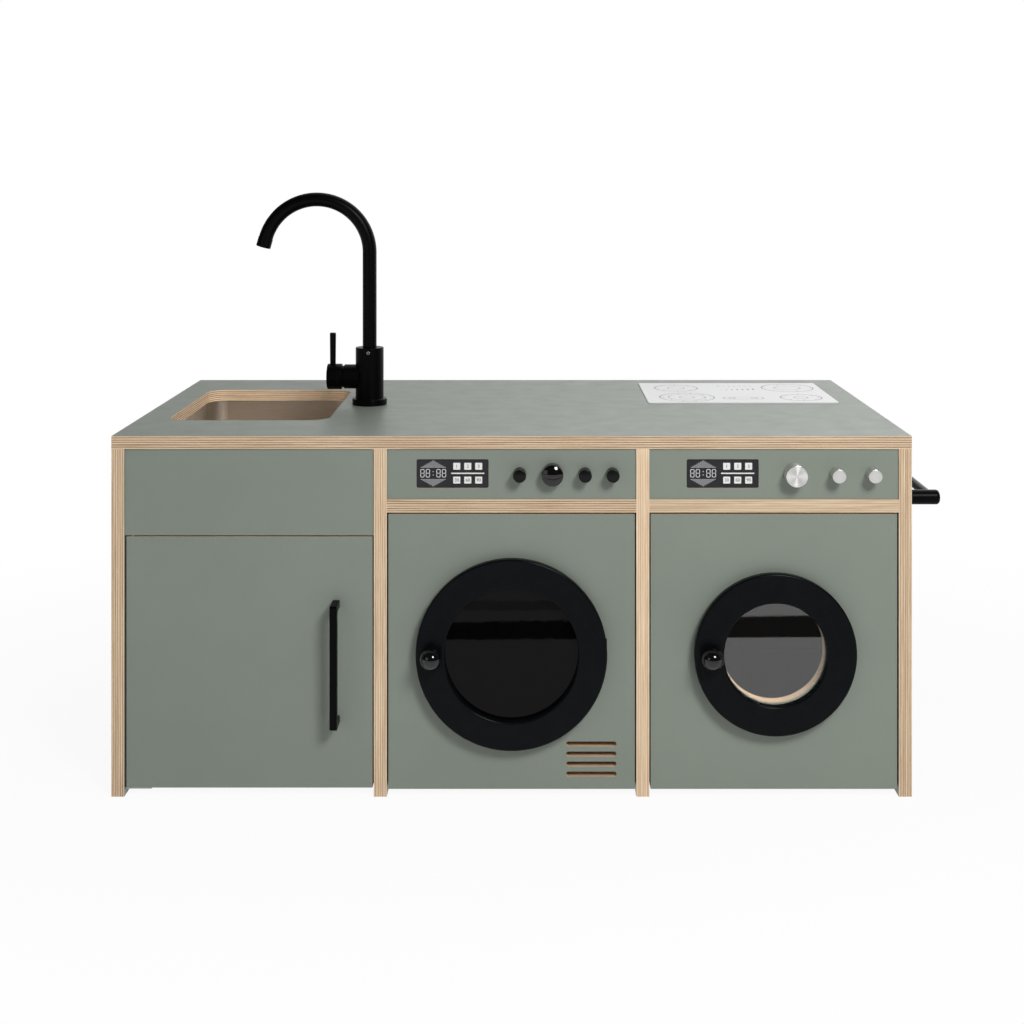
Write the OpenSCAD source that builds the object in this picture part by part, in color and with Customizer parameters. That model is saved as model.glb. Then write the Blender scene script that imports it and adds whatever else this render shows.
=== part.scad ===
// Play laundry kitchen: a low plywood unit with a sink, a tumble dryer, a washing machine and a hob.
// Lengths are in millimetres. X runs along the front, Y from the front to the back, Z up.
// The origin is on the floor, under the middle of the whole unit's outer box.

/* [Cabinet] */
// Width over the two side panels
cabinet_w = 1110; // [1050:5:1250]
// Depth from the front edges to the back
cabinet_d = 550; // [520:5:650]
// Height of the worktop's upper face
cabinet_h = 500; // [485:5:600]
// Thickness of every laminated plywood board
board_t = 18; // [15:0.5:20]
// Thickness of the back panel
back_t = 9; // [6:0.5:12]
// How far the fronts sit behind the edges of the boards round them
front_setback = 2; // [1:0.5:3]
// Height of the base panels' underside above the floor
base_lift = 11.5; // [8:0.5:20]

/* [Fronts] */
// Height of the fascia over the cupboard door
sink_fascia_h = 120; // [100:5:140]
// Height of the two control fascias
control_fascia_h = 70; // [60:2:80]
// Depth of the rail under each control fascia
rail_d = 60; // [40:5:90]
// Gap at the two sides of a machine's front panel
panel_side_gap = 2; // [1:0.5:3]
// Gap between a machine's front panel and the rail over it
panel_top_gap = 2.5; // [1.5:0.5:4]
// Height of the front panels' lower edge above the floor
panel_lift = 10; // [5:1:15]
// Width of the square cleats that the front panels are fixed to
cleat_w = 20; // [15:1:25]

/* [Round doors] */
// Height of both round doors' centres above the floor
round_door_z = 201; // [190:1:215]
// Thickness of the two door rings
ring_t = 15; // [12:0.5:20]
// Gap between a ring's back and the panel behind it
ring_gap = 4; // [4:0.25:6]
// Radius of the rings' rounded front edges
ring_edge = 3; // [1:0.5:4]
// Outer diameter of the dryer's door
dryer_door_d = 264; // [245:1:290]
// Diameter of the dryer's window
dryer_window_d = 185; // [160:5:190]
// Outer diameter of the washer's door
washer_door_d = 224; // [205:1:240]
// Diameter of the washer's window
washer_window_d = 142; // [120:2:150]
// Thickness of the window discs
window_t = 3; // [2:0.5:5]
// Width of the rebate that a window disc lies in
window_lip = 6; // [4:0.5:8]
// Diameter of the ball that a round door is pulled by
ball_d = 30; // [24:1:32]
// How far the ball's axis lies inside the middle of the ring's band
ball_shift = 2.5; // [0:0.5:4]
// Diameter of the foot under that ball
ball_foot_d = 14; // [10:1:18]
// Length of the stud that holds the ball
ball_stud = 8; // [6:0.5:9]

/* [Butt hinges of the round doors] */
// Height of a hinge
hinge_h = 36; // [28:1:50]
// Width of a leaf
hinge_leaf_w = 15; // [10:0.5:20]
// Thickness of a leaf
hinge_leaf_t = 1.2; // [1:0.1:1.4]
// Diameter of the hinge pin
hinge_pin_d = 1.6; // [1.2:0.1:2]
// How far the hinge axis lies inside the ring's outer edge
hinge_inset = 1.5; // [1:0.1:1.6]

/* [Cupboard door] */
// Gap between the cupboard door and the side panel at its pivots
door_hinge_gap = 2.5; // [2.5:0.25:4]
// Gap between the cupboard door and the divider
door_side_gap = 2; // [1:0.5:4]
// Gap between the cupboard door and the fascia over it
door_top_gap = 2; // [1:0.5:4]
// Distance of the pivots from the door's edge
pivot_inset = 8; // [7.5:0.25:8]
// Distance of the pivots from the door's front face
pivot_depth = 6; // [5.5:0.25:6]
// Diameter of the pivot pins
pivot_d = 6; // [4:0.5:7]
// How far each pivot pin reaches into the door
pivot_reach = 10; // [6:1:20]
// Thickness of the pivot plate under the door
pivot_plate_t = 2; // [1.5:0.5:3]
// Overall length of the bar handle
handle_l = 170; // [130:5:220]
// Thickness of the handle's square bar
handle_t = 10; // [8:0.5:14]
// How far the handle stands out of the door
handle_reach = 32; // [25:1:38]
// Outer corner radius of the handle
handle_corner = 3; // [1:0.5:5]
// Distance of the handle's centre line from the door's free edge
handle_inset = 50.5; // [25:0.5:80]
// Height of the handle's middle above the floor
handle_z = 187; // [160:1:240]
// Diameter of the handle's screws
screw_d = 4; // [3:0.5:5]

/* [Controls] */
// Distance of the knobs' axes below the worktop's underside
knob_drop = 34.5; // [31:0.5:37]
// Diameter of the small black knobs
small_knob_d = 18; // [14:0.5:22]
// Diameter of the small silver knobs
silver_knob_d = 19; // [14:0.5:22]
// Diameter of the two large dials
dial_d = 30; // [24:1:36]
// How far the knobs stand out of the fascia
knob_l = 20; // [14:1:26]
// Diameter of the axles that the knobs turn on
axle_d = 5; // [3:0.5:6]
// Knob places in the dryer's bay, from the bay's middle
dryer_dial_x = [11.2, 56.6, 101.7, 140];
// Knob places in the washer's bay, from the bay's middle
washer_dial_x = [28.8, 87, 136.7];
// Width of the display windows
display_w = 100; // [80:2:104]
// Height of the display windows
display_h = 40; // [30:1:44]
// Thickness of the display plates
display_t = 3; // [2:0.5:5]
// Depth of the display plates' faces behind the fascia's face
display_sunk = 2; // [1:0.5:3]
// Corner radius of the display windows
display_corner = 2.5; // [1:0.5:6]
// Middle of the dryer's display, from the bay's middle
dryer_display_x = -82; // [-90:1:-70]
// Middle of the washer's display, from the bay's middle
washer_display_x = -71; // [-90:1:-62]

/* [Vents] */
// Number of vent slots in the dryer's front
vent_count = 4; // [2:1:5]
// Length of a vent slot
vent_l = 70; // [40:2:80]
// Height of a vent slot
vent_h = 7; // [5:0.5:9]
// Distance between the slots
vent_pitch = 13.9; // [12:0.1:15]
// Middle of the slots, from the bay's middle
vent_x = 110.7; // [100:1:115]
// Height of the lowest slot above the floor
vent_z = 30.6; // [28:1:34]

/* [Sink] */
// Distance of the cut-out from the left side panel's inner face
sink_side = 26.5; // [20:0.5:40]
// Distance of the cut-out from the tap's axis
sink_to_tap = 45; // [44:0.5:60]
// Depth of the cut-out from front to back
sink_d = 303; // [240:2:310]
// Corner radius of the cut-out
sink_corner = 30; // [28:1:50]
// Middle of the sink, from the front edge
sink_y = 281.7; // [265:1:300]
// Depth of the bowl under the worktop
bowl_depth = 100; // [70:5:115]
// Thickness of the bowl's sheet steel
bowl_t = 1.2; // [0.8:0.1:2]
// Radius between the bowl's walls and its floor
bowl_fillet = 24; // [15:1:26]
// Width of the bowl's rim
bowl_rim = 14; // [10:1:16]
// How far the bowl's walls lie behind the cut-out's edge
bowl_reveal = 2; // [0:0.5:3]
// Width of each clip that holds the bowl's rim
clip_w = 20; // [12:1:40]

/* [Tap] */
// Middle of the tap, from the left divider's left face
tap_x = 36.5; // [34:0.5:42]
// Middle of the tap, from the front edge
tap_y = 281; // [200:1:350]
// Diameter of the tap's foot
tap_foot_d = 54.5; // [48:0.5:60]
// Height of the tap's foot over the worktop, gasket included
tap_foot_h = 10; // [6:0.5:15]
// Diameter of the tap's body
tap_body_d = 44; // [40:0.5:46]
// Height of the tap's body over the worktop
tap_body_h = 90; // [86:1:110]
// Diameter of the threaded shank through the worktop
shank_d = 33; // [28:0.5:36]
// Thickness of the gasket under the foot
gasket_t = 1; // [0.5:0.5:3]
// Outer diameter of the spout's tube
spout_d = 22; // [18:0.5:26]
// Wall of the spout's tube
spout_wall = 1.5; // [1:0.1:3]
// Radius of the spout's bend
bend_r = 83.5; // [70:0.5:100]
// Height of the bend's centre over the worktop
bend_z = 239.5; // [200:1:260]
// Angle that the spout bends through
bend_angle = 164.2; // [150:0.5:180]
// Length of the outlet collar
aerator_l = 15; // [10:1:25]
// Diameter of the mixer's branch
branch_d = 38; // [32:0.5:40]
// Height of the mixer's axis over the worktop
mixer_z = 43.8; // [42:0.2:48]
// Distance of the branch's end from the tap's axis
branch_l = 39.5; // [34:0.5:44]
// Width of the groove between the branch and the mixer cap
groove_w = 4; // [2:0.5:6]
// Diameter of the mixer cap
cap_d = 40; // [36:0.5:44]
// Length of the mixer cap
cap_l = 22.6; // [20:0.2:30]
// Distance of the lever's axis from the mixer cap's inner face
lever_out = 14.4; // [8:0.2:15]
// Diameter of the stem that the mixer cap turns on
stem_d = 24; // [16:0.5:26]
// Length of the lever over the cap
lever_l = 49; // [35:1:70]
// Lever's diameter at the cap
lever_base_d = 9; // [6:0.2:10]
// Lever's diameter at its tip
lever_tip_d = 9.8; // [6:0.2:12]
// Radius of the lever's rounded tip
lever_edge = 1.5; // [0.5:0.1:2.5]

/* [Hob] */
// Width of the hob plate
hob_w = 302; // [240:2:330]
// Depth of the hob plate from front to back
hob_d = 214; // [180:2:260]
// Thickness of the hob plate
hob_t = 1.5; // [1:0.5:4]
// Corner radius of the hob plate
hob_corner = 3; // [1:1:20]
// Distance of the hob plate from the worktop's back edge
hob_back = 48; // [10:1:60]

/* [Towel rail] */
// How far the posts stand out of the side panel
rail_reach = 60; // [45:1:90]
// Diameter of the posts
post_d = 21; // [16:0.5:28]
// Radius of the posts' rounded ends
post_edge = 5; // [1:0.5:7]
// Diameter of the bar
bar_d = 13; // [10:0.5:15]
// Distance of the bar's axis from the side panel
bar_out = 48; // [30:1:49]
// Distance of each post from the nearer edge of the side panel
post_inset = 80; // [40:1:150]
// Height of the rail above the floor
towel_rail_z = 398; // [300:1:420]

/* [Hidden] */
$fn = 96;

// Clearances
shaft_fit = 0.05;    // round a pin, a shaft or a stud in its bore
seat_gap = 0.3;      // between a moving piece and what it rests against
swing_room = 1;      // behind the cupboard door's swinging edge
overcut = 1;         // how far a cutter passes a face

// Boards of the carcass
bay_w = (cabinet_w - 4 * board_t) / 3;
bay_pitch = bay_w + board_t;
under_top = cabinet_h - board_t;
inner_d = cabinet_d - back_t;
front_y = front_setback;
behind_front = front_y + board_t;
sink_bay_x = -bay_pitch;
dryer_bay_x = 0;
washer_bay_x = bay_pitch;
control_fascia_z = under_top - control_fascia_h;
rail_z = control_fascia_z - board_t;
panel_top = rail_z - panel_top_gap;
floor_z = base_lift + board_t;

// Cupboard door and its pivots
door_left = sink_bay_x - bay_w / 2 + door_hinge_gap;
door_right = sink_bay_x + bay_w / 2 - door_side_gap;
door_top = under_top - sink_fascia_h - door_top_gap;
pivot_x = door_left + pivot_inset;
pivot_y = front_y + pivot_depth;
swing_r = norm([pivot_inset, board_t - pivot_depth]);
sink_base_front = pivot_y + swing_r + swing_room;
plate_setback = 4;
plate_w = 37;
plate_l = 60;
door_bottom = base_lift + seat_gap;
handle_x = door_right - handle_inset;
handle_pitch = handle_l - handle_t;
screw_grip = 12;
screw_head_d = 8;
screw_head_h = 2.5;

// Catches
catch_d = 8;
catch_deep = 10;
strike_t = 2;
catch_box = [12, 30, 14];
catch_drop = 18;
door_strike_d = 10;

// Round doors
ring_back = front_y - ring_gap;
ring_front = ring_back - ring_t;
hinge_y = front_y - ring_gap / 2;
knuckle_r = ring_gap / 2 - seat_gap;
knuckle_gap = 0.3;
knuckle_h = (hinge_h - 2 * knuckle_gap) / 3;
knuckle_notch = knuckle_r + 0.5;
ball_foot_l = 7;

// Controls
knob_z = under_top - knob_drop;
axle_in_knob = 14;
axle_head_d = 12;
axle_head_h = 3;
axle_end_gap = 0.5;
silver_edge = 0.8;
black_edge = 2.5;
black_crown = 40;
dome_edge = 7;
dome_crown = 26;

// Sink and tap
sink_w = bay_w - sink_side - sink_to_tap - tap_x;
sink_at = [sink_bay_x - bay_w / 2 + sink_side + sink_w / 2, sink_y];
bowl_corner = sink_corner + bowl_reveal;
clip_t = 2;
clip_foot = 12;
clip_hold = 8;
clip_spread = 70;
tap_at = [sink_bay_x + bay_w / 2 - tap_x, tap_y];
spigot_l = 35;
shank_l = 45;
channel_d = 14;
stem_l = 18;
groove_deep = 2;
cap_start = branch_l + groove_w;
lever_seat = 3;
gasket_inset = 1;
neck_d = branch_d - 2 * groove_deep;
lever_at = cap_start + lever_out;
washer_t = 2;
washer_d = 50;
nut_d = 50;
nut_h = 10;
nut_sides = 6;
grub_d = 6;
grub_z = 83;
grub_deep = 4;
collar_step = 0.5;
collar_spigot = 5;
collar_recess = 10;
collar_edge = 1;
foot_edge = 1.5;
body_edge = 0.8;
cap_edge = 1.5;

// Towel rail
stud_d = 8;
stud_l = 12;

// The frame's origin is under the middle of the outer box
reach_front = max(ring_gap + ring_t + ball_d, handle_reach, knob_l) - front_setback;
frame_x = rail_reach / 2;
frame_y = (cabinet_d - reach_front) / 2;

// Colours
GREEN = [0.51, 0.55, 0.51];
PLY = [0.85, 0.72, 0.55];
BLACK = [0.08, 0.08, 0.09];
GLOSS = [0.03, 0.03, 0.03];
SILVER = [0.86, 0.86, 0.87];
STEEL = [0.62, 0.62, 0.62];
CLEAR = [0.7, 0.75, 0.78, 0.4];

// Moves a piece from the carcass's own place to the frame
module in_frame() {
    translate([-frame_x, -frame_y, 0]) children();
}

// Turns a piece drawn along +Z so that it points out of the front, at a place on the front
module facing_front(x, y, z) {
    translate([x, y, z]) rotate([90, 0, 0]) children();
}

// Rectangle about the origin with round corners
module rounded_rect(w, h, r) {
    square([w - 2 * r, h], center = true);
    square([w, h - 2 * r], center = true);
    for (x = [-1, 1], y = [-1, 1])
        translate([x * (w / 2 - r), y * (h / 2 - r)]) circle(r);
}

// Half section of a turned piece of radius r and height h, with a round front edge
module turned_section(r, h, edge) {
    square([r, h - edge]);
    square([r - edge, h]);
    translate([r - edge, h - edge]) circle(edge);
}

// Upright board: x is its left face
module upright(x, d) {
    translate([x, 0, 0]) cube([board_t, d, under_top]);
}

// Board in a bay's front, from its lower to its upper edge
module front_board(bay_x, gap, low, high) {
    translate([bay_x - bay_w / 2 + gap, front_y, low]) cube([bay_w - 2 * gap, board_t, high - low]);
}

module worktop() {
    color(GREEN) in_frame() difference() {
        translate([-cabinet_w / 2, 0, under_top]) cube([cabinet_w, cabinet_d, board_t]);
        translate([sink_at.x, sink_at.y, under_top - overcut])
            linear_extrude(board_t + 2 * overcut) rounded_rect(sink_w, sink_d, sink_corner);
        translate([tap_at.x, tap_at.y, under_top - overcut])
            cylinder(d = shank_d + 2 * shaft_fit, h = board_t + 2 * overcut);
    }
}

module left_side_panel() {
    color(GREEN) in_frame() upright(-cabinet_w / 2, cabinet_d);
}

module left_divider() {
    color(GREEN) in_frame() upright(sink_bay_x + bay_w / 2, inner_d);
}

module right_divider() {
    color(GREEN) in_frame() upright(dryer_bay_x + bay_w / 2, inner_d);
}

module right_side_panel() {
    color(GREEN) in_frame() difference() {
        upright(washer_bay_x + bay_w / 2, cabinet_d);
        for (y = [post_inset, cabinet_d - post_inset])
            translate([cabinet_w / 2 - stud_l, y, towel_rail_z])
                rotate([0, 90, 0]) cylinder(d = stud_d + 2 * shaft_fit, h = stud_l + overcut);
    }
}

module back_panel() {
    color(PLY) in_frame()
        translate([-cabinet_w / 2 + board_t, inner_d, base_lift])
            cube([cabinet_w - 2 * board_t, back_t, under_top - base_lift]);
}

// Floor of a bay
module base_panel(bay_x, from_y) {
    translate([bay_x - bay_w / 2, from_y, base_lift]) cube([bay_w, inner_d - from_y, board_t]);
}

module sink_base_panel() {
    color(PLY) in_frame() base_panel(sink_bay_x, sink_base_front);
}

module dryer_base_panel() {
    color(PLY) in_frame() base_panel(dryer_bay_x, behind_front);
}

module washer_base_panel() {
    color(PLY) in_frame() base_panel(washer_bay_x, behind_front);
}

module sink_fascia() {
    color(GREEN) in_frame() difference() {
        front_board(sink_bay_x, 0, under_top - sink_fascia_h, under_top);
        translate([pivot_x, pivot_y, under_top - sink_fascia_h - overcut])
            cylinder(d = pivot_d + 2 * shaft_fit, h = pivot_reach + overcut + shaft_fit);
    }
}

// Fascia with a sunk display window and a bore for each knob's axle
module control_fascia(bay_x, display_x, knob_places) {
    difference() {
        front_board(bay_x, 0, control_fascia_z, under_top);
        facing_front(bay_x + display_x, front_y + display_sunk + display_t, knob_z)
            linear_extrude(display_sunk + display_t + overcut)
                rounded_rect(display_w + 2 * shaft_fit, display_h + 2 * shaft_fit, display_corner);
        for (x = knob_places)
            facing_front(bay_x + x, behind_front + overcut, knob_z)
                cylinder(d = axle_d + 2 * shaft_fit, h = board_t + 2 * overcut);
    }
}

module dryer_fascia() {
    color(GREEN) in_frame() control_fascia(dryer_bay_x, dryer_display_x, dryer_dial_x);
}

module washer_fascia() {
    color(GREEN) in_frame() control_fascia(washer_bay_x, washer_display_x, washer_dial_x);
}

// Plywood shelf under a control fascia
module control_rail(bay_x) {
    translate([bay_x - bay_w / 2, 0, rail_z]) cube([bay_w, rail_d, board_t]);
}

module dryer_rail() {
    color(PLY) in_frame() control_rail(dryer_bay_x);
}

module washer_rail() {
    color(PLY) in_frame() control_rail(washer_bay_x);
}

// Front panel with the round mouth behind a door and the bore for its catch magnet
module machine_front(bay_x, door_d, window_d) {
    difference() {
        front_board(bay_x, panel_side_gap, panel_lift, panel_top);
        facing_front(bay_x, behind_front + overcut, round_door_z)
            cylinder(d = window_d, h = board_t + 2 * overcut);
        facing_front(bay_x - ball_at(door_d, window_d), front_y + catch_deep, round_door_z)
            cylinder(d = catch_d + 2 * shaft_fit, h = catch_deep + overcut);
    }
}

module dryer_front_panel() {
    color(GREEN) in_frame() difference() {
        machine_front(dryer_bay_x, dryer_door_d, dryer_window_d);
        for (i = [0 : vent_count - 1])
            facing_front(dryer_bay_x + vent_x, behind_front + overcut, vent_z + i * vent_pitch)
                linear_extrude(board_t + 2 * overcut) vent_slot();
    }
}

// Slot with round ends
module vent_slot() {
    square([vent_l - vent_h, vent_h], center = true);
    for (side = [-1, 1]) translate([side * (vent_l - vent_h) / 2, 0]) circle(d = vent_h);
}

module washer_front_panel() {
    color(GREEN) in_frame() machine_front(washer_bay_x, washer_door_d, washer_window_d);
}

// Upright square strips behind the machine fronts
module panel_cleats() {
    color(PLY) in_frame()
        for (bay_x = [dryer_bay_x, washer_bay_x], side = [-1, 1])
            translate([bay_x + side * (bay_w - cleat_w) / 2 - cleat_w / 2, behind_front, floor_z])
                cube([cleat_w, cleat_w, rail_z - floor_z]);
}

// Half section of the pressed bowl: x from a corner's centre outward, y up to the rim's upper face
module bowl_section() {
    difference() {
        bowl_outline(bowl_corner + bowl_t, bowl_depth, bowl_fillet + bowl_t);
        bowl_outline(bowl_corner, bowl_depth - bowl_t, bowl_fillet, overcut);
    }
    translate([bowl_corner + bowl_t / 2, -bowl_t]) square([bowl_rim - bowl_t / 2, bowl_t]);
}

// Outline with a round lower corner, from the axis to x, from the floor up past y = 0
module bowl_outline(x, depth, fillet, above = 0) {
    translate([0, -depth]) square([x - fillet, depth + above]);
    translate([0, -depth + fillet]) square([x, depth - fillet + above]);
    translate([x - fillet, -depth + fillet]) intersection() {
        circle(fillet);
        translate([0, -fillet]) square(fillet);
    }
}

// Carries a half section round a rectangle whose corner centres are 2x by 2y apart
module round_rectangle_sweep(x, y) {
    for (turn = [0 : 3]) {
        half = turn % 2 == 0 ? [x, y] : [y, x];
        rotate(90 * turn) {
            translate([half.x, half.y, 0]) rotate_extrude(angle = 90) children();
            translate([half.x, half.y, 0]) rotate([90, 0, 0]) linear_extrude(2 * half.y) children();
        }
    }
}

module sink_bowl() {
    half_x = sink_w / 2 - sink_corner;
    half_y = sink_d / 2 - sink_corner;
    color(STEEL) in_frame() translate([sink_at.x, sink_at.y, under_top]) {
        round_rectangle_sweep(half_x, half_y) bowl_section();
        translate([-half_x, -half_y, -bowl_depth]) cube([2 * half_x, 2 * half_y, bowl_t]);
    }
}

// Stepped clips screwed to the worktop's underside, which hold the bowl's rim up
module sink_clips() {
    rim_edge = sink_d / 2 + bowl_reveal + bowl_rim;
    color(STEEL) in_frame() translate([sink_at.x, sink_at.y, under_top])
        for (end = [0, 180], x = [-1, 1])
            rotate(end) translate([x * clip_spread - clip_w / 2, rim_edge, 0]) {
                translate([0, -clip_hold, -bowl_t - clip_t]) cube([clip_w, clip_hold + clip_t, clip_t]);
                translate([0, seat_gap, -bowl_t - clip_t]) cube([clip_w, clip_t, bowl_t + clip_t]);
                translate([0, seat_gap, -clip_t]) cube([clip_w, clip_foot, clip_t]);
            }
}

// Places a tap piece: z is the height over the worktop
module at_tap(z) {
    translate([tap_at.x, tap_at.y, cabinet_h + z]) children();
}

// Turns a piece drawn along +Z so that it lies on the mixer's axis and points left
module along_mixer(out) {
    at_tap(mixer_z) translate([-out, 0, 0]) rotate([0, -90, 0]) children();
}

module tap_gasket() {
    color(GLOSS) in_frame() at_tap(0) difference() {
        cylinder(d = tap_foot_d - 2 * gasket_inset, h = gasket_t);
        translate([0, 0, -overcut]) cylinder(d = shank_d + 2 * shaft_fit, h = gasket_t + 2 * overcut);
    }
}

// Foot, body, shank and mixer branch in one casting, bored for the spout and the mixer's stem
module tap_body() {
    color(BLACK) in_frame() difference() {
        union() {
            at_tap(gasket_t) rotate_extrude() {
                turned_section(tap_foot_d / 2, tap_foot_h - gasket_t, foot_edge);
                turned_section(tap_body_d / 2, tap_body_h - gasket_t, body_edge);
            }
            at_tap(gasket_t - shank_l) cylinder(d = shank_d, h = shank_l);
            along_mixer(0) cylinder(d = branch_d, h = branch_l);
            along_mixer(0) cylinder(d = neck_d, h = cap_start - seat_gap);
        }
        at_tap(tap_body_h - spigot_l) cylinder(d = spout_d + 2 * shaft_fit, h = spigot_l + overcut);
        at_tap(-shank_l) cylinder(d = channel_d, h = shank_l + tap_body_h - spigot_l + overcut);
        along_mixer(cap_start - stem_l) cylinder(d = stem_d + 2 * shaft_fit, h = stem_l + overcut);
        at_tap(grub_z) translate([0, -tap_body_d / 2 + grub_deep, 0]) rotate([90, 0, 0])
            cylinder(d = grub_d, h = grub_deep + overcut);
    }
}

// Washer and nut that clamp the tap under the worktop
module tap_backnut() {
    color(STEEL) in_frame() at_tap(-board_t) difference() {
        union() {
            translate([0, 0, -washer_t]) cylinder(d = washer_d, h = washer_t);
            translate([0, 0, -washer_t - nut_h]) cylinder(d = nut_d, h = nut_h, $fn = nut_sides);
        }
        translate([0, 0, -washer_t - nut_h - overcut])
            cylinder(d = shank_d + 2 * shaft_fit, h = washer_t + nut_h + 2 * overcut);
    }
}

// Cross-section of the spout's tube
module tube_section() {
    difference() {
        circle(d = spout_d);
        circle(d = spout_d - 2 * spout_wall);
    }
}

module tap_spout() {
    foot_z = tap_body_h - spigot_l + seat_gap;
    color(BLACK) in_frame() {
        at_tap(foot_z) linear_extrude(bend_z - foot_z) tube_section();
        at_tap(bend_z) translate([-bend_r, 0, 0]) rotate([90, 0, 0])
            rotate_extrude(angle = bend_angle) translate([bend_r, 0]) tube_section();
    }
}

// Outlet collar with a spigot in the end of the tube
module tap_aerator() {
    bore_d = spout_d - 2 * spout_wall;
    end_x = bend_r * (cos(bend_angle) - 1);
    end_z = bend_z + bend_r * sin(bend_angle);
    color(BLACK) in_frame() at_tap(end_z) translate([end_x, 0, 0]) rotate([0, -bend_angle, 0])
        difference() {
            union() {
                rotate_extrude() turned_section(spout_d / 2 + collar_step, aerator_l, collar_edge);
                translate([0, 0, -collar_spigot])
                    cylinder(d = bore_d - 2 * shaft_fit, h = collar_spigot + overcut);
            }
            translate([0, 0, aerator_l - collar_recess])
                cylinder(d = bore_d - 2 * spout_wall, h = collar_recess + overcut);
        }
}

// Cap with the stem that it turns on, and the seat for the lever
module tap_mixer_cap() {
    color(BLACK) in_frame() difference() {
        union() {
            along_mixer(cap_start) rotate_extrude() turned_section(cap_d / 2, cap_l, cap_edge);
            along_mixer(cap_start - stem_l + seat_gap) cylinder(d = stem_d, h = stem_l);
        }
        at_tap(mixer_z) translate([-lever_at, 0, cap_d / 2 - lever_seat])
            cylinder(d = lever_base_d + 2 * shaft_fit, h = lever_seat + overcut);
    }
}

// Half section of the lever's rounded tip
module lever_tip() {
    square([lever_tip_d / 2 - lever_edge, lever_edge]);
    translate([lever_tip_d / 2 - lever_edge, 0]) intersection() {
        circle(lever_edge);
        square(lever_edge);
    }
}

module tap_lever() {
    color(BLACK) in_frame() at_tap(mixer_z) translate([-lever_at, 0, cap_d / 2]) {
        translate([0, 0, -lever_seat]) cylinder(d = lever_base_d, h = lever_seat);
        cylinder(d1 = lever_base_d, d2 = lever_tip_d, h = lever_l - lever_edge);
        translate([0, 0, lever_l - lever_edge]) rotate_extrude() lever_tip();
    }
}

module hob_plate() {
    color("white") in_frame()
        translate([washer_bay_x, cabinet_d - hob_back - hob_d / 2, cabinet_h])
            linear_extrude(hob_t) rounded_rect(hob_w, hob_d, hob_corner);
}

module display(bay_x, x) {
    facing_front(bay_x + x, front_y + display_sunk + display_t, knob_z)
        linear_extrude(display_t) rounded_rect(display_w, display_h, display_corner);
}

module dryer_display() {
    color(GLOSS) in_frame() display(dryer_bay_x, dryer_display_x);
}

module washer_display() {
    color(GLOSS) in_frame() display(washer_bay_x, washer_display_x);
}

// Headed axles, pressed through the fascias from behind
module knob_axles() {
    places = concat([for (x = dryer_dial_x) dryer_bay_x + x], [for (x = washer_dial_x) washer_bay_x + x]);
    color(STEEL) in_frame() for (x = places) {
        facing_front(x, behind_front + axle_head_h, knob_z) cylinder(d = axle_head_d, h = axle_head_h);
        facing_front(x, behind_front, knob_z) cylinder(d = axle_d, h = board_t + axle_in_knob);
    }
}

// Half section of a turned knob: edge is the round of its front edge, crown the radius of its face
module crowned_section(r, h, edge, crown) {
    intersection() {
        turned_section(r, h, edge);
        translate([0, h - crown]) circle(crown);
        square([r, h]);
    }
}

// Turned knob on its axle, with a domed face where crown is over zero
module turned_knob(x, d, edge, crown = 0) {
    facing_front(x, front_y - seat_gap, knob_z) difference() {
        rotate_extrude()
            if (crown > 0) crowned_section(d / 2, knob_l - seat_gap, edge, crown);
            else turned_section(d / 2, knob_l - seat_gap, edge);
        translate([0, 0, -overcut])
            cylinder(d = axle_d + 2 * shaft_fit, h = overcut + axle_in_knob - seat_gap + axle_end_gap);
    }
}

module small_knob(x) {
    turned_knob(x, small_knob_d, black_edge, black_crown);
}

module silver_knob(x) {
    turned_knob(x, silver_knob_d, silver_edge);
}

module dryer_power_knob() {
    color(BLACK) in_frame() small_knob(dryer_bay_x + dryer_dial_x[0]);
}

module dryer_program_dial() {
    color(GLOSS) in_frame() turned_knob(dryer_bay_x + dryer_dial_x[1], dial_d, dome_edge, dome_crown);
}

module dryer_heat_knob() {
    color(BLACK) in_frame() small_knob(dryer_bay_x + dryer_dial_x[2]);
}

module dryer_time_knob() {
    color(BLACK) in_frame() small_knob(dryer_bay_x + dryer_dial_x[3]);
}

module washer_program_dial() {
    color(SILVER) in_frame() turned_knob(washer_bay_x + washer_dial_x[0], dial_d, silver_edge);
}

module washer_temperature_knob() {
    color(SILVER) in_frame() silver_knob(washer_bay_x + washer_dial_x[1]);
}

module washer_spin_knob() {
    color(SILVER) in_frame() silver_knob(washer_bay_x + washer_dial_x[2]);
}

module cabinet_door() {
    color(GREEN) in_frame() difference() {
        translate([door_left, front_y, door_bottom])
            cube([door_right - door_left, board_t, door_top - door_bottom]);
        translate([pivot_x, pivot_y, door_bottom - overcut])
            cylinder(d = pivot_d + 2 * shaft_fit, h = pivot_reach + 2 * overcut);
        translate([pivot_x, pivot_y, door_top - pivot_reach - overcut])
            cylinder(d = pivot_d + 2 * shaft_fit, h = pivot_reach + 2 * overcut);
        for (end = [-1, 1])
            facing_front(handle_x, behind_front + overcut, handle_z + end * handle_pitch / 2)
                cylinder(d = screw_d + 2 * shaft_fit, h = board_t + 2 * overcut);
        facing_front(strike_x(), behind_front + overcut, catch_z())
            cylinder(d = door_strike_d + 2 * shaft_fit, h = strike_t + overcut);
    }
}

// Side view of the square bar handle, from the door's face out to the bar
module handle_side() {
    difference() {
        union() {
            translate([0, handle_reach / 4]) square([handle_l, handle_reach / 2], center = true);
            translate([0, handle_reach / 2]) rounded_rect(handle_l, handle_reach, handle_corner);
        }
        translate([0, (handle_reach - handle_t) / 2 - overcut / 2])
            square([handle_pitch - handle_t, handle_reach - handle_t + overcut], center = true);
    }
}

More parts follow.
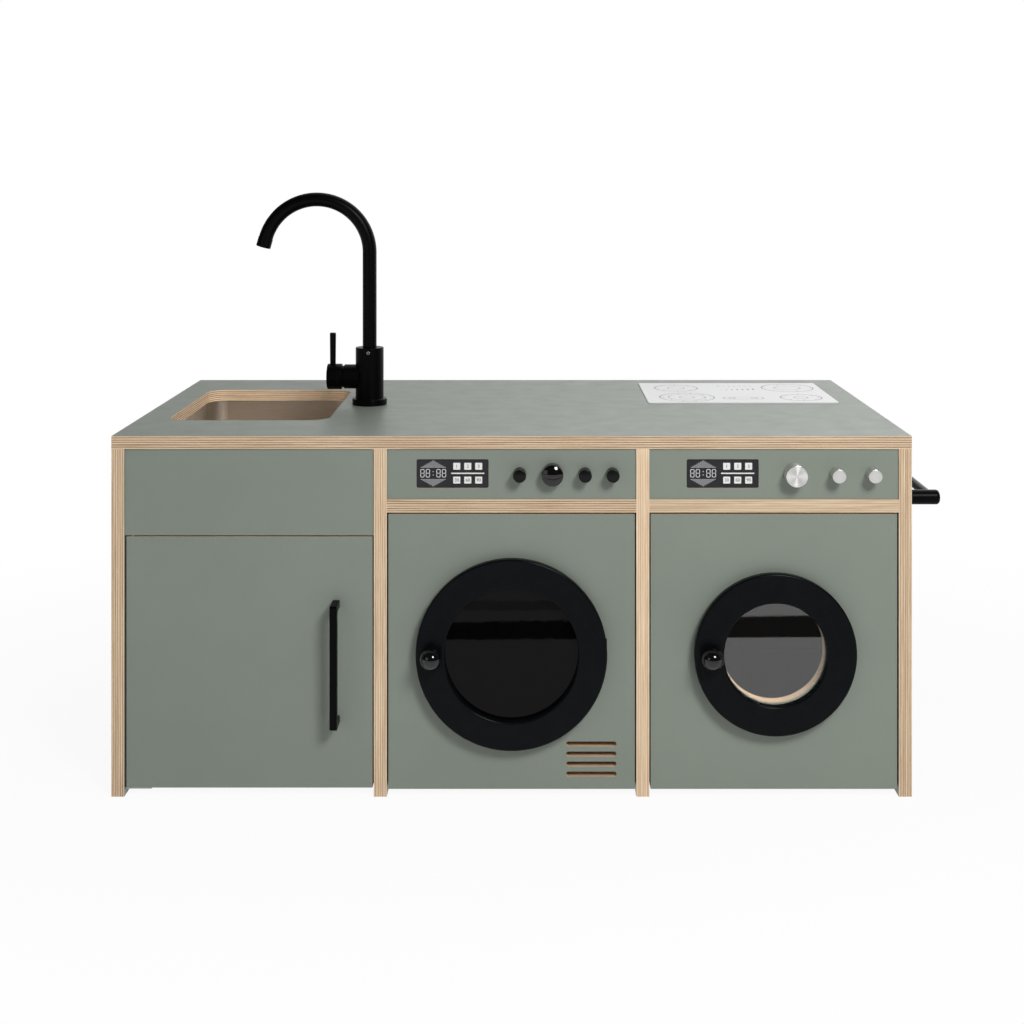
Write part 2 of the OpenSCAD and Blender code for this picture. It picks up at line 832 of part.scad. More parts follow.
module door_handle() {
    color(BLACK) in_frame() difference() {
        translate([handle_x + handle_t / 2, front_y, handle_z]) rotate([90, 0, -90])
            rotate(90) mirror([0, 1]) linear_extrude(handle_t) handle_side();
        for (end = [-1, 1])
            facing_front(handle_x, front_y + overcut, handle_z + end * handle_pitch / 2)
                cylinder(d = screw_d + 2 * shaft_fit, h = screw_grip + overcut + axle_end_gap);
    }
}

// Screws from inside the cupboard door into the handle's feet
module handle_screws() {
    color(STEEL) in_frame() for (end = [-1, 1]) {
        z = handle_z + end * handle_pitch / 2;
        facing_front(handle_x, behind_front + screw_head_h, z)
            cylinder(d = screw_head_d, h = screw_head_h);
        facing_front(handle_x, behind_front, z) cylinder(d = screw_d, h = board_t + screw_grip);
    }
}

module door_top_pivot() {
    color(STEEL) in_frame()
        translate([pivot_x, pivot_y, door_top - pivot_reach])
            cylinder(d = pivot_d, h = 2 * pivot_reach + door_top_gap);
}

// Plate under the base panel, with the pin that carries the door
module door_bottom_pivot() {
    plate_z = base_lift - pivot_plate_t;
    color(STEEL) in_frame() {
        translate([sink_bay_x - bay_w / 2, plate_setback, plate_z])
            cube([plate_w, plate_l, pivot_plate_t]);
        translate([pivot_x, pivot_y, plate_z]) cylinder(d = pivot_d, h = pivot_plate_t + pivot_reach);
    }
}

// Distance from a round door's centre to the middle of its ring's band
function band_middle(door_d, window_d) = (door_d + window_d) / 4;

// Distance from a round door's centre to the axis of its ball, its strike and its magnet
function ball_at(door_d, window_d) = band_middle(door_d, window_d) - ball_shift;

// Centre of the cupboard door's catch
function strike_x() = sink_bay_x + bay_w / 2 - catch_box.x / 2;
function catch_z() = door_top - catch_drop;

// Magnet box on the divider, just behind the closed cupboard door
module cabinet_catch() {
    color(BLACK) in_frame()
        translate([strike_x() - catch_box.x / 2, behind_front + seat_gap, catch_z() - catch_box.z / 2])
            cube(catch_box);
}

module cabinet_door_strike() {
    color(STEEL) in_frame()
        facing_front(strike_x(), behind_front, catch_z()) cylinder(d = door_strike_d, h = strike_t);
}

// Magnets in the machine fronts that hold the round doors shut
module catch_magnets() {
    color(STEEL) in_frame() {
        catch_magnet(dryer_bay_x - ball_at(dryer_door_d, dryer_window_d));
        catch_magnet(washer_bay_x - ball_at(washer_door_d, washer_window_d));
    }
}

module catch_magnet(x) {
    facing_front(x, front_y + catch_deep, round_door_z)
        cylinder(d = catch_d, h = catch_deep + ring_gap - seat_gap);
}

// Ring with rounded front edges, and a rebate at its back for the window disc
module door_ring(bay_x, door_d, window_d) {
    band = (door_d - window_d) / 2;
    ball_x = bay_x - ball_at(door_d, window_d);
    difference() {
        facing_front(bay_x, ring_back, round_door_z) rotate_extrude() difference() {
            translate([band_middle(door_d, window_d), 0]) band_section(band);
            translate([window_d / 2 - overcut, -overcut])
                square([window_lip + shaft_fit + overcut, window_t + overcut]);
        }
        facing_front(ball_x, ring_front + ball_stud, round_door_z)
            cylinder(d = screw_d + 2 * shaft_fit, h = ball_stud + overcut);
        facing_front(ball_x, ring_back + overcut, round_door_z)
            cylinder(d = catch_d + 2 * shaft_fit, h = strike_t + overcut);
    }
}

// Cross-section of a ring's band, about its middle line
module band_section(band) {
    translate([-band / 2, 0]) square([band, ring_t - ring_edge]);
    translate([-band / 2 + ring_edge, 0]) square([band - 2 * ring_edge, ring_t]);
    for (side = [-1, 1]) translate([side * (band / 2 - ring_edge), ring_t - ring_edge]) circle(ring_edge);
}

module door_window(bay_x, window_d) {
    facing_front(bay_x, ring_back, round_door_z) cylinder(d = window_d + 2 * window_lip, h = window_t);
}

// Ball on a short foot, with the stud that holds it in the ring
module ball_knob(x) {
    facing_front(x, ring_front, round_door_z) {
        translate([0, 0, ball_d / 2]) sphere(d = ball_d);
        cylinder(d = ball_foot_d, h = ball_foot_l);
        translate([0, 0, -ball_stud]) cylinder(d = screw_d, h = ball_stud + overcut);
    }
}

module door_strike(x) {
    facing_front(x, ring_back, round_door_z) cylinder(d = catch_d, h = strike_t);
}

// Leaf of a butt hinge: face is the side of the gap it lies on, kept the knuckles that belong to it
module hinge_leaf(door_d, bay_x, face, kept) {
    translate([bay_x + door_d / 2 - hinge_inset, hinge_y, round_door_z - hinge_h / 2]) difference() {
        union() {
            translate([-hinge_leaf_w, face > 0 ? ring_gap / 2 - hinge_leaf_t : -ring_gap / 2, 0])
                cube([hinge_leaf_w, hinge_leaf_t, hinge_h]);
            for (i = kept) translate([0, 0, i * (knuckle_h + knuckle_gap)])
                cylinder(r = knuckle_r, h = knuckle_h);
        }
        for (i = [0 : 2]) if (len(search(i, kept)) == 0)
            translate([-knuckle_notch, -ring_gap, i * (knuckle_h + knuckle_gap) - knuckle_gap])
                cube([2 * knuckle_notch, 2 * ring_gap, knuckle_h + 2 * knuckle_gap]);
        translate([0, 0, -overcut]) cylinder(d = hinge_pin_d + 2 * shaft_fit, h = hinge_h + 2 * overcut);
    }
}

module hinge_fixed_leaves() {
    color(BLACK) in_frame() {
        hinge_leaf(dryer_door_d, dryer_bay_x, 1, [0, 2]);
        hinge_leaf(washer_door_d, washer_bay_x, 1, [0, 2]);
    }
}

module hinge_pins() {
    color(STEEL) in_frame() {
        hinge_pin(dryer_door_d, dryer_bay_x);
        hinge_pin(washer_door_d, washer_bay_x);
    }
}

module hinge_pin(door_d, bay_x) {
    translate([bay_x + door_d / 2 - hinge_inset, hinge_y, round_door_z - hinge_h / 2])
        cylinder(d = hinge_pin_d, h = hinge_h);
}

module dryer_door_ring() {
    color(GLOSS) in_frame() door_ring(dryer_bay_x, dryer_door_d, dryer_window_d);
}

module dryer_door_window() {
    color(GLOSS) in_frame() door_window(dryer_bay_x, dryer_window_d);
}

module dryer_door_knob() {
    color(GLOSS) in_frame() ball_knob(dryer_bay_x - ball_at(dryer_door_d, dryer_window_d));
}

module dryer_door_strike() {
    color(STEEL) in_frame() door_strike(dryer_bay_x - ball_at(dryer_door_d, dryer_window_d));
}

module dryer_hinge_leaf() {
    color(BLACK) in_frame() hinge_leaf(dryer_door_d, dryer_bay_x, -1, [1]);
}

module washer_door_ring() {
    color(GLOSS) in_frame() door_ring(washer_bay_x, washer_door_d, washer_window_d);
}

module washer_door_window() {
    color(CLEAR) in_frame() door_window(washer_bay_x, washer_window_d);
}

module washer_door_knob() {
    color(GLOSS) in_frame() ball_knob(washer_bay_x - ball_at(washer_door_d, washer_window_d));
}

module washer_door_strike() {
    color(STEEL) in_frame() door_strike(washer_bay_x - ball_at(washer_door_d, washer_window_d));
}

module washer_hinge_leaf() {
    color(BLACK) in_frame() hinge_leaf(washer_door_d, washer_bay_x, -1, [1]);
}

// Round posts on the right side panel, each with a stud in the panel and a blind bore for the bar
module towel_rail_posts() {
    color(BLACK) in_frame() difference() {
        for (y = [post_inset, cabinet_d - post_inset])
            translate([cabinet_w / 2, y, towel_rail_z]) rotate([0, 90, 0]) {
                rotate_extrude() turned_section(post_d / 2, rail_reach, post_edge);
                translate([0, 0, -stud_l]) cylinder(d = stud_d, h = stud_l + overcut);
            }
        translate([cabinet_w / 2 + bar_out, cabinet_d - post_inset, towel_rail_z])
            rotate([90, 0, 0]) cylinder(d = bar_d + 2 * shaft_fit, h = cabinet_d - 2 * post_inset);
    }
}

module towel_rail_bar() {
    color(BLACK) in_frame()
        translate([cabinet_w / 2 + bar_out, cabinet_d - post_inset, towel_rail_z])
            rotate([90, 0, 0]) cylinder(d = bar_d, h = cabinet_d - 2 * post_inset);
}

worktop();
left_side_panel();
left_divider();
right_divider();
right_side_panel();
back_panel();
sink_base_panel();
dryer_base_panel();
washer_base_panel();
sink_fascia();
dryer_fascia();
washer_fascia();
dryer_rail();
washer_rail();
dryer_front_panel();
washer_front_panel();
panel_cleats();
sink_bowl();
sink_clips();
tap_gasket();
tap_body();
tap_backnut();
tap_spout();
tap_aerator();
tap_mixer_cap();
tap_lever();
hob_plate();
dryer_display();
washer_display();
knob_axles();
dryer_power_knob();
dryer_program_dial();
dryer_heat_knob();
dryer_time_knob();
washer_program_dial();
washer_temperature_knob();
washer_spin_knob();
cabinet_door();
door_handle();
handle_screws();
door_top_pivot();
door_bottom_pivot();
cabinet_catch();
cabinet_door_strike();
catch_magnets();
hinge_fixed_leaves();
hinge_pins();
dryer_door_ring();
dryer_door_window();
dryer_door_knob();
dryer_door_strike();
dryer_hinge_leaf();
washer_door_ring();
washer_door_window();
washer_door_knob();
washer_door_strike();
washer_hinge_leaf();
towel_rail_posts();
towel_rail_bar();
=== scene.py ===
# %% [markdown]
# # Dressing a play laundry kitchen
# The imported model gives every board, pin and panel its place, in metres. This lesson leaves those places alone
# and gives the pieces their looks: laminated plywood, powder-coated metal, gloss lacquer and printed controls.
# The first cell loads the model and keeps its parts by name.

# %% Load the imported model
import math

import bmesh
import bpy
import numpy as np
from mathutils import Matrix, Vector


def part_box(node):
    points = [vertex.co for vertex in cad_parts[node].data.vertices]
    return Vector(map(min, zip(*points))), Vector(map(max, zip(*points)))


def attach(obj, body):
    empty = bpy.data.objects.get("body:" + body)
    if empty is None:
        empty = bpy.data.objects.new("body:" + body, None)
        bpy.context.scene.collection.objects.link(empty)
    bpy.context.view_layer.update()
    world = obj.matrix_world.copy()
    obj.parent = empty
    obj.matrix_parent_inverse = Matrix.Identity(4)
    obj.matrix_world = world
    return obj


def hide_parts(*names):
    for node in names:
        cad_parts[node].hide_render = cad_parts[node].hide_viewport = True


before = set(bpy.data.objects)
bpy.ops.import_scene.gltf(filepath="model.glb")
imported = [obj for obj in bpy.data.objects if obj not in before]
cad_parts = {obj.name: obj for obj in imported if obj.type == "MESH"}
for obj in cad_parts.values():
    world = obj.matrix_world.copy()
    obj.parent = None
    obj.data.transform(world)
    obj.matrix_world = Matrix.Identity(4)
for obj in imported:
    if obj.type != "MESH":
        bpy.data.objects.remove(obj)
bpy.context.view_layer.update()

MM = 0.001
LEFT, RIGHT, FRONT, BACK, UP = (-1, 0, 0), (1, 0, 0), (0, -1, 0), (0, 1, 0), (0, 0, 1)

# %% [markdown]
# ## The view
# The photo was taken with a level camera, standing a little over two metres in front and well above the worktop.
# A level camera keeps the uprights vertical, and the lens is shifted down to bring the unit into the frame.
# Blender's own shift does the same, so no correction of the picture is needed.

# %% Camera
def put(name, data):
    """A new object in the scene that carries a mesh, a camera, a lamp or a text."""
    made = bpy.data.objects.new(name, data)
    bpy.context.scene.collection.objects.link(made)
    return made


photo_camera = bpy.data.cameras.new("photo_camera")
photo_camera.sensor_width = 36
photo_camera.lens = 51.5
photo_camera.shift_x = -0.0174
photo_camera.shift_y = -0.3312
photo_camera.clip_start = 0.05
photo_camera.clip_end = 60
camera_object = put("photo_camera", photo_camera)
camera_object.location = (-0.0047, -2.2825, 0.865)
camera_object.rotation_euler = (math.radians(90), 0, 0)
bpy.context.scene.camera = camera_object
bpy.context.scene.view_settings.view_transform = "Standard"
print("camera", photo_camera.lens, "mm, shifted", photo_camera.shift_y)

# %% [markdown]
# ## Wiring a material
# Every finish is a small node network, and short helpers keep the cells readable. A value that is the same all over
# a surface is set on the shader's own socket, and only what varies is wired.

# %% Node helpers
def rgb(red, green, blue):
    """Linear colour of an sRGB colour in 0 to 255: below 0.04 a straight line, above it a power of 2.4."""
    share = np.array([red, green, blue]) / 255
    linear = np.where(share <= 0.04045, share / 12.92, ((share + 0.055) / 1.055) ** 2.4)
    return (*[float(v) for v in linear], 1.0)


def shade(colour, factor):
    """A colour made lighter or darker, and never brighter than white."""
    return tuple(min(c * factor, 1.0) for c in colour[:3]) + (1,)


def add(tree, kind, values=None, **settings):
    """Adds a node. settings are its options, values its inputs: a number, a colour or another node's output."""
    made = tree.nodes.new(kind)
    for key, value in settings.items():
        setattr(made, key, value)
    for key, value in (values or {}).items():
        if isinstance(value, bpy.types.NodeSocket):
            tree.links.new(value, made.inputs[key])
        else:
            made.inputs[key].default_value = value
    return made


def calc(tree, operation, *values, clamp=False):
    """The output of a Math node that works on one to three numbers or outputs."""
    return add(tree, "ShaderNodeMath", dict(enumerate(values)), operation=operation, use_clamp=clamp).outputs[0]


def mix_numbers(tree, share, first, second):
    """A number between two others: share 0 gives the first, 1 the second."""
    step = calc(tree, "MULTIPLY", share, calc(tree, "SUBTRACT", second, first))
    return calc(tree, "ADD", step, first)


def mix(tree, share, first, second):
    """The output of a Mix node between two colours: share 0 gives the first, 1 the second."""
    return add(tree, "ShaderNodeMix", {0: share, 6: first, 7: second}, data_type="RGBA").outputs[2]


def ramp(tree, source, *stops):
    """The output of a Color Ramp, from pairs of a place and a grey level or a colour."""
    made = add(tree, "ShaderNodeValToRGB", {"Fac": source})
    while len(made.color_ramp.elements) < len(stops):
        made.color_ramp.elements.new(0.5)
    for element, (place, colour) in zip(made.color_ramp.elements, stops):
        element.position = place
        element.color = colour if isinstance(colour, tuple) else (colour, colour, colour, 1)
    return made.outputs["Color"]


def start_material(name, colour=None, roughness=0.5, metallic=0.0, **sockets):
    """A material, its node tree and its Principled shader. Underscores stand for spaces in socket names."""
    made = bpy.data.materials.new(name)
    made.use_nodes = True
    shader = made.node_tree.nodes["Principled BSDF"]
    if colour:
        shader.inputs["Base Color"].default_value = colour
    for key, value in {"Roughness": roughness, "Metallic": metallic, **sockets}.items():
        shader.inputs[key.replace("_", " ")].default_value = value
    return made, made.node_tree, shader


def wire(shader, **sources):
    """Wires outputs into the shader's sockets, named in the same way."""
    for key, source in sources.items():
        shader.id_data.links.new(source, shader.inputs[key.replace("_", " ")])


def place_in(tree, scale):
    """Object coordinates, scaled: a large scale packs a pattern closer along that axis."""
    at = add(tree, "ShaderNodeTexCoord").outputs["Object"]
    return add(tree, "ShaderNodeMapping", {"Vector": at, "Scale": scale}).outputs[0]


def noise(tree, packing, detail=2.0, roughness=0.5, distortion=0.0, scale=1.0):
    """Grey of a Noise texture. packing is one number, one for each axis, or another node's output."""
    if not isinstance(packing, bpy.types.NodeSocket):
        packing = place_in(tree, (packing,) * 3 if np.isscalar(packing) else packing)
    return add(tree, "ShaderNodeTexNoise", {"Vector": packing, "Scale": scale, "Detail": detail,
                                            "Roughness": roughness, "Distortion": distortion}).outputs[0]


def bump(shader, height, strength, distance):
    """Wires a height into the normal: strength is how much of it shows, distance its real depth."""
    made = add(shader.id_data, "ShaderNodeBump", {"Height": height, "Strength": strength, "Distance": distance})
    wire(shader, Normal=made.outputs[0])


print("helpers ready")

# %% [markdown]
# ## Laminated plywood
# The boards are birch plywood with a thin green-grey laminate on both faces and bare edges. One mesh holds both, so
# the material tells them apart: a face is where the surface normal lies along the board's thickness. Everything
# else is a cut edge, also inside a round mouth or a vent slot, and shows the plies. The two rails have bare faces,
# and the back and base panels, which hardly show, carry a dark brown film: a real film, darkened as painted shade
# for the cavities behind the windows. The pattern reads Object coordinates, which stay with the board when a door
# swings.

# %% Plies on a board's edge
PLIES = 11
WANDER = 0.035
LONG_GRAIN, LONG_GRAIN_PALE, LONG_GRAIN_WARM = rgb(196, 164, 130), rgb(236, 216, 186), rgb(182, 138, 104)
END_GRAIN, END_GRAIN_PALE = rgb(132, 96, 68), rgb(176, 140, 106)
STAINED_GRAIN, STAINED_GRAIN_PALE = rgb(78, 48, 32), rgb(122, 84, 58)


def one_axis(axis, value, others):
    """Three numbers: one value along the axis and another along the other two."""
    return tuple(value if i == axis else others for i in range(3))


def object_parts(tree, output="Object"):
    """The three parts of the Object coordinates, or of another output of the same node."""
    return add(tree, "ShaderNodeSeparateXYZ", {0: add(tree, "ShaderNodeTexCoord").outputs[output]}).outputs


def ply_edge(tree, axis, low, thickness, tone, striping):
    """Colour and height of a plywood edge. The share through the thickness, times half the number of plies, is cut
    into whole layers, each a light ply of long grain and a dark one of end grain. A slow noise along the edge, read
    anew for every layer, stains some stretches. tone makes one board's wood lighter or darker."""
    across = calc(tree, "DIVIDE", calc(tree, "SUBTRACT", object_parts(tree)[axis], low), thickness)
    wander = calc(tree, "SUBTRACT", noise(tree, one_axis(axis, 60.0, 7.0), 1.0), 0.5)
    wander = calc(tree, "MULTIPLY", wander, WANDER)
    layer = calc(tree, "MULTIPLY", calc(tree, "ADD", across, wander), PLIES / 2)
    fibre = noise(tree, one_axis(axis, 1400.0, 14.0), 3.0, 0.65)
    band = noise(tree, one_axis(axis, 260.0, 3.0))
    light = mix(tree, ramp(tree, fibre, (0.32, 0.0), (0.68, 1.0)),
                          shade(LONG_GRAIN, tone), shade(LONG_GRAIN_PALE, tone))
    warm = calc(tree, "MULTIPLY", ramp(tree, band, (0.55, 0.0), (0.75, 1.0)), 0.5)
    light = mix(tree, warm, light, shade(LONG_GRAIN_WARM, tone))
    index = add(tree, "ShaderNodeCombineXYZ", {axis: calc(tree, "FLOOR", layer)}).outputs[0]
    ply_place = add(tree, "ShaderNodeVectorMath", {0: index, 1: one_axis(axis, 5.3, 0.0),
                                                   2: place_in(tree, one_axis(axis, 0.0, 11.0))},
                    operation="MULTIPLY_ADD").outputs[0]
    stretch = ramp(tree, noise(tree, ply_place, 3.0, 0.6), (0.38, 0.0), (0.6, 1.0))
    pores = ramp(tree, noise(tree, 420, 2.0, 0.6), (0.3, 0.0), (0.7, 1.0))
    plain = mix(tree, pores, shade(END_GRAIN, tone), shade(END_GRAIN_PALE, tone))
    stained = mix(tree, pores, shade(STAINED_GRAIN, tone), shade(STAINED_GRAIN_PALE, tone))
    end_grain = ramp(tree, calc(tree, "FRACT", layer), (0.58, 0.0), (0.68, 1.0), (0.9, 1.0), (1.0, 0.0))
    share = calc(tree, "MULTIPLY", end_grain, ramp(tree, band, (0.25, striping), (0.7, striping * 0.7)))
    dark = mix(tree, stretch, plain, stained)
    return mix(tree, share, light, dark), calc(tree, "ADD", fibre, end_grain)


def laminate_colour(tree, tint):
    """A coated face: one tint, a few percent lighter and darker in slow clouds and fine specks."""
    clouds = calc(tree, "MULTIPLY", noise(tree, 6, 3.0, 0.55), 0.75)
    specks = calc(tree, "MULTIPLY", noise(tree, 900, 1.0), 0.25)
    share = ramp(tree, calc(tree, "ADD", clouds, specks), (0.3, 0.0), (0.7, 1.0))
    return mix(tree, share, shade(tint, 0.95), shade(tint, 1.05))


# The film colour is a real brown film made darker as painted shade inside the cavities.
LAMINATE, DARK_FILM_AND_SHADE = rgb(126, 134, 124), rgb(82, 64, 52)
EDGE_TONES = {"left_side_panel": 0.98, "left_divider": 1.06, "right_divider": 1.1, "right_side_panel": 0.93,
              "worktop": 0.91, "dryer_rail": 0.9, "washer_rail": 0.88}
EDGE_STRIPES = {"left_side_panel": 0.75, "left_divider": 0.6, "right_divider": 0.35, "right_side_panel": 0.7,
                "washer_rail": 0.3}
EDGE_ROUGH, COATED_ROUGH, BARE_ROUGH = 0.66, 0.36, 0.52
# The cut-out's margin and the factor by which painted light brightens the edge colour inside it.
CUT_OUT_MARGIN, CUT_OUT_PAINTED_LIGHT = 0.01, 0.45


def pale_cut_out(tree, edge, low, high):
    """Painted light on the sink cut-out's edge: more than 10 mm inside the board's outline the edge colour is
    multiplied by 1.45, to stand in for the light that falls into the cut-out from above and in front."""
    parts = object_parts(tree)
    inside = []
    for axis in (0, 1):
        off_middle = calc(tree, "SUBTRACT", parts[axis], (low[axis] + high[axis]) / 2)
        inside.append(calc(tree, "LESS_THAN", calc(tree, "ABSOLUTE", off_middle),
                                (high[axis] - low[axis]) / 2 - CUT_OUT_MARGIN))
    lift = calc(tree, "MULTIPLY_ADD", calc(tree, "MULTIPLY", *inside), CUT_OUT_PAINTED_LIGHT, 1.0)
    return add(tree, "ShaderNodeVectorMath", {0: edge, "Scale": lift}, operation="SCALE").outputs[0]


def board_material(name, node, axis, tint):
    """One board's material: a face where the object-space normal lies along the thickness axis, plies elsewhere.
    tint is the colour of the laminate or the film, and bare birch has none."""
    low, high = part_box(node)
    made, tree, shader = start_material(name, Specular_IOR_Level=0.1 if tint == DARK_FILM_AND_SHADE else 0.42)
    edge, edge_height = ply_edge(tree, axis, low[axis], high[axis] - low[axis],
                                 EDGE_TONES.get(node, 1.0), EDGE_STRIPES.get(node, 1.0))
    # The worktop's cut-out edge is made paler as painted light.
    if node == "worktop":
        edge = pale_cut_out(tree, edge, low, high)
    along = calc(tree, "ABSOLUTE", object_parts(tree, "Normal")[axis])
    is_face = calc(tree, "GREATER_THAN", along, 0.7)
    if tint:
        face = laminate_colour(tree, tint)
    else:
        grain = ramp(tree, noise(tree, (1.6, 18.0, 18.0), 4.0, 0.6, 0.4, 6.0), (0.3, 0.0), (0.7, 1.0))
        face = mix(tree, grain, rgb(200, 168, 128), rgb(226, 200, 164))
    face_rough = calc(tree, "MULTIPLY_ADD", noise(tree, 30, 3.0), 0.16, COATED_ROUGH if tint else BARE_ROUGH)
    wire(shader, Base_Color=mix(tree, is_face, edge, face),
         Roughness=mix_numbers(tree, is_face, EDGE_ROUGH, face_rough))
    face_height = calc(tree, "MULTIPLY", noise(tree, 1600, 1.0), 0.25)
    bump(shader, mix_numbers(tree, is_face, edge_height, face_height), 0.25, 0.0003)
    return made


def wear(node, material):
    """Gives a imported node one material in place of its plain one."""
    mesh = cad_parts[node].data
    mesh.materials.clear()
    mesh.materials.append(material)


laminated = {"worktop": 2, "left_side_panel": 0, "left_divider": 0, "right_divider": 0, "right_side_panel": 0,
             "sink_fascia": 1, "dryer_fascia": 1, "washer_fascia": 1, "dryer_front_panel": 1,
             "washer_front_panel": 1, "cabinet_door": 1}
bare = {"dryer_rail": 2, "washer_rail": 2}
# The back and base panels take the dark film, whose darkness is partly painted shade.
film_faced_and_shaded = {"back_panel": 1, "sink_base_panel": 2, "dryer_base_panel": 2, "washer_base_panel": 2}
for kind, tint, boards in (("laminated_", LAMINATE, laminated), ("bare_", None, bare),
                           ("film_faced_and_shaded_", DARK_FILM_AND_SHADE, film_faced_and_shaded)):
    for node, axis in boards.items():
        wear(node, board_material(kind + node, node, axis, tint))
print("boards dressed", len(laminated) + len(bare) + len(film_faced_and_shaded))

# %% [markdown]
# ## Metal, lacquer and acrylic
# The tap, the handle and the towel rail are powder-coated steel, satin black with the faint orange-peel that powder
# leaves. The rings of the round doors are lacquered board, so they are smoother. The ball knobs and the large dial
# are glossy. Each finish gets slow variation in its roughness, because a hand-sized piece with one even gloss looks
# like plastic foil.

# %% Black finishes
def coated_black(name, colour, low_rough, high_rough, peel, specular):
    """Black finish: roughness runs between two values in soft clouds, and a fine noise makes the peel."""
    made, tree, shader = start_material(name, colour, Specular_IOR_Level=specular)
    rough = calc(tree, "MULTIPLY_ADD", noise(tree, 28, 3.0, 0.6), 2 * (high_rough - low_rough),
                      1.5 * low_rough - 0.5 * high_rough, clamp=True)
    tint = ramp(tree, noise(tree, 55), (0.3, shade(colour, 0.85)), (0.7, shade(colour, 1.15)))
    wire(shader, Roughness=rough, Base_Color=tint)
    bump(shader, noise(tree, peel), 0.12, 0.0002)
    return made


satin_black = coated_black("satin_black_powder_coat", rgb(5, 5, 5), 0.30, 0.38, 1400, 0.06)
lacquer_black = coated_black("black_lacquer", rgb(10, 12, 14), 0.22, 0.30, 700, 0.07)
gloss_black = coated_black("gloss_black", rgb(10, 10, 11), 0.05, 0.09, 500, 0.5)
knob_black = coated_black("soft_black_knob", rgb(10, 10, 11), 0.24, 0.34, 1200, 0.2)
rubber_black = coated_black("gasket_rubber", rgb(20, 20, 20), 0.65, 0.8, 900, 0.3)
smoked_acrylic = coated_black("smoked_acrylic", rgb(4, 4, 5), 0.02, 0.04, 60, 0.11)
display_black = coated_black("display_black", rgb(30, 29, 33), 0.22, 0.3, 300, 0.3)
print("black finishes", 7)

# %% [markdown]
# ## Clear acrylic
# The washer's window is a clear disc. Its two faces each send back a few percent of the pale floor, which makes it
# look grey from the front, and the mouth's plywood edge shows through.

# %% Clear window
clear_acrylic, tree, shader = start_material("clear_acrylic", rgb(250, 250, 250), 0.0, IOR=1.6, Transmission_Weight=1.0)
wire(shader, Roughness=ramp(tree, noise(tree, (260, 260, 18), 3.0, 0.6), (0.8, 0.0), (1.0, 0.002)))
print("clear window", shader.inputs["IOR"].default_value)

# %% [markdown]
# ## Bare metal
# The bowl is pressed from brushed stainless sheet, and its colour is warmed as a painted reflection of the plywood
# round it. The silver controls are turned aluminium. Turning leaves fine rings round the axis, which stretch every
# highlight across them, so a turned face shows bright sectors that meet in its middle. The shader's anisotropy makes
# them when it follows a map that runs round the axis.

# %% Steel and aluminium
def brushed_metal(name, colour, roughness, run, strength):
    """Brushed metal: a noise stretched along the brushing gives lines in colour, roughness and height."""
    made, tree, shader = start_material(name, colour, roughness, 1.0)
    lines = noise(tree, run, 3.0, 0.7)
    wire(shader, Base_Color=ramp(tree, lines, (0.25, shade(colour, 0.82)), (0.75, colour)),
         Roughness=calc(tree, "MULTIPLY_ADD", lines, 0.22, roughness - 0.11))
    bump(shader, lines, strength, 0.0002)
    return made


def turned_metal(name, colour, roughness, anisotropy):
    """Turned metal: the rings are a noise on the map's second value, the distance from the axis, and anisotropy
    follows its first, the turn."""
    made, tree, shader = start_material(name, colour, roughness, 1.0, Anisotropic=anisotropy,
                                        Anisotropic_Rotation=0.25)
    turning = add(tree, "ShaderNodeUVMap", uv_map="turning").outputs[0]
    radius = add(tree, "ShaderNodeSeparateXYZ", {0: turning}).outputs[1]
    rings = add(tree, "ShaderNodeTexNoise", {"W": calc(tree, "MULTIPLY", radius, 420.0), "Scale": 1.0,
                                             "Detail": 2.0}, noise_dimensions="1D").outputs[0]
    wire(shader, Base_Color=ramp(tree, rings, (0.3, shade(colour, 0.84)), (0.7, colour)),
         Roughness=calc(tree, "MULTIPLY_ADD", rings, 0.1, roughness - 0.05),
         Tangent=add(tree, "ShaderNodeTangent", direction_type="UV_MAP", uv_map="turning").outputs[0])
    bump(shader, rings, 0.08, 0.0001)
    return made


# The bowl's steel colour is warmed as a painted reflection of the plywood edges round the sink.
bowl_steel_with_painted_reflection = brushed_metal("brushed_steel_warm_reflection", rgb(214, 202, 188), 0.42, (40, 900, 900), 0.2)
small_steel = brushed_metal("zinc_plated_steel", rgb(168, 168, 166), 0.38, 300, 0.12)
turned_aluminium = turned_metal("turned_aluminium", rgb(238, 237, 235), 0.30, 0.85)
satin_aluminium = turned_metal("satin_aluminium", rgb(232, 231, 229), 0.34, 0.3)
print("metals", 4)

# %% [markdown]
# ## Surfaces from arrays
# Every new piece is a grid of points worked out with numpy: rows follow a profile or a path, and columns go round.
# One function turns the grid into a mesh, welds the seam and the poles, turns all faces outwards and marks only
# real edges sharp. A Weighted Normal modifier lets the large faces set the normals. Without it a flat window beside
# its small rounding would mirror the room like a bulged one.

# %% From a grid to a piece
def lay_faces(rows, columns, close_rows, close_columns):
    """Quads between neighbouring rows and columns of a grid whose points are numbered row by row."""
    row = np.arange(rows if close_rows else rows - 1)[:, None]
    column = np.arange(columns if close_columns else columns - 1)[None, :]
    next_row, next_column = (row + 1) % rows, (column + 1) % columns
    return np.stack([row * columns + column, row * columns + next_column,
                     next_row * columns + next_column, next_row * columns + column], -1).reshape(-1, 4)


def dress(piece, body, replaces=()):
    """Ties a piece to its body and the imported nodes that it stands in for."""
    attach(piece, body)
    if replaces:
        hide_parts(*replaces)
    return piece


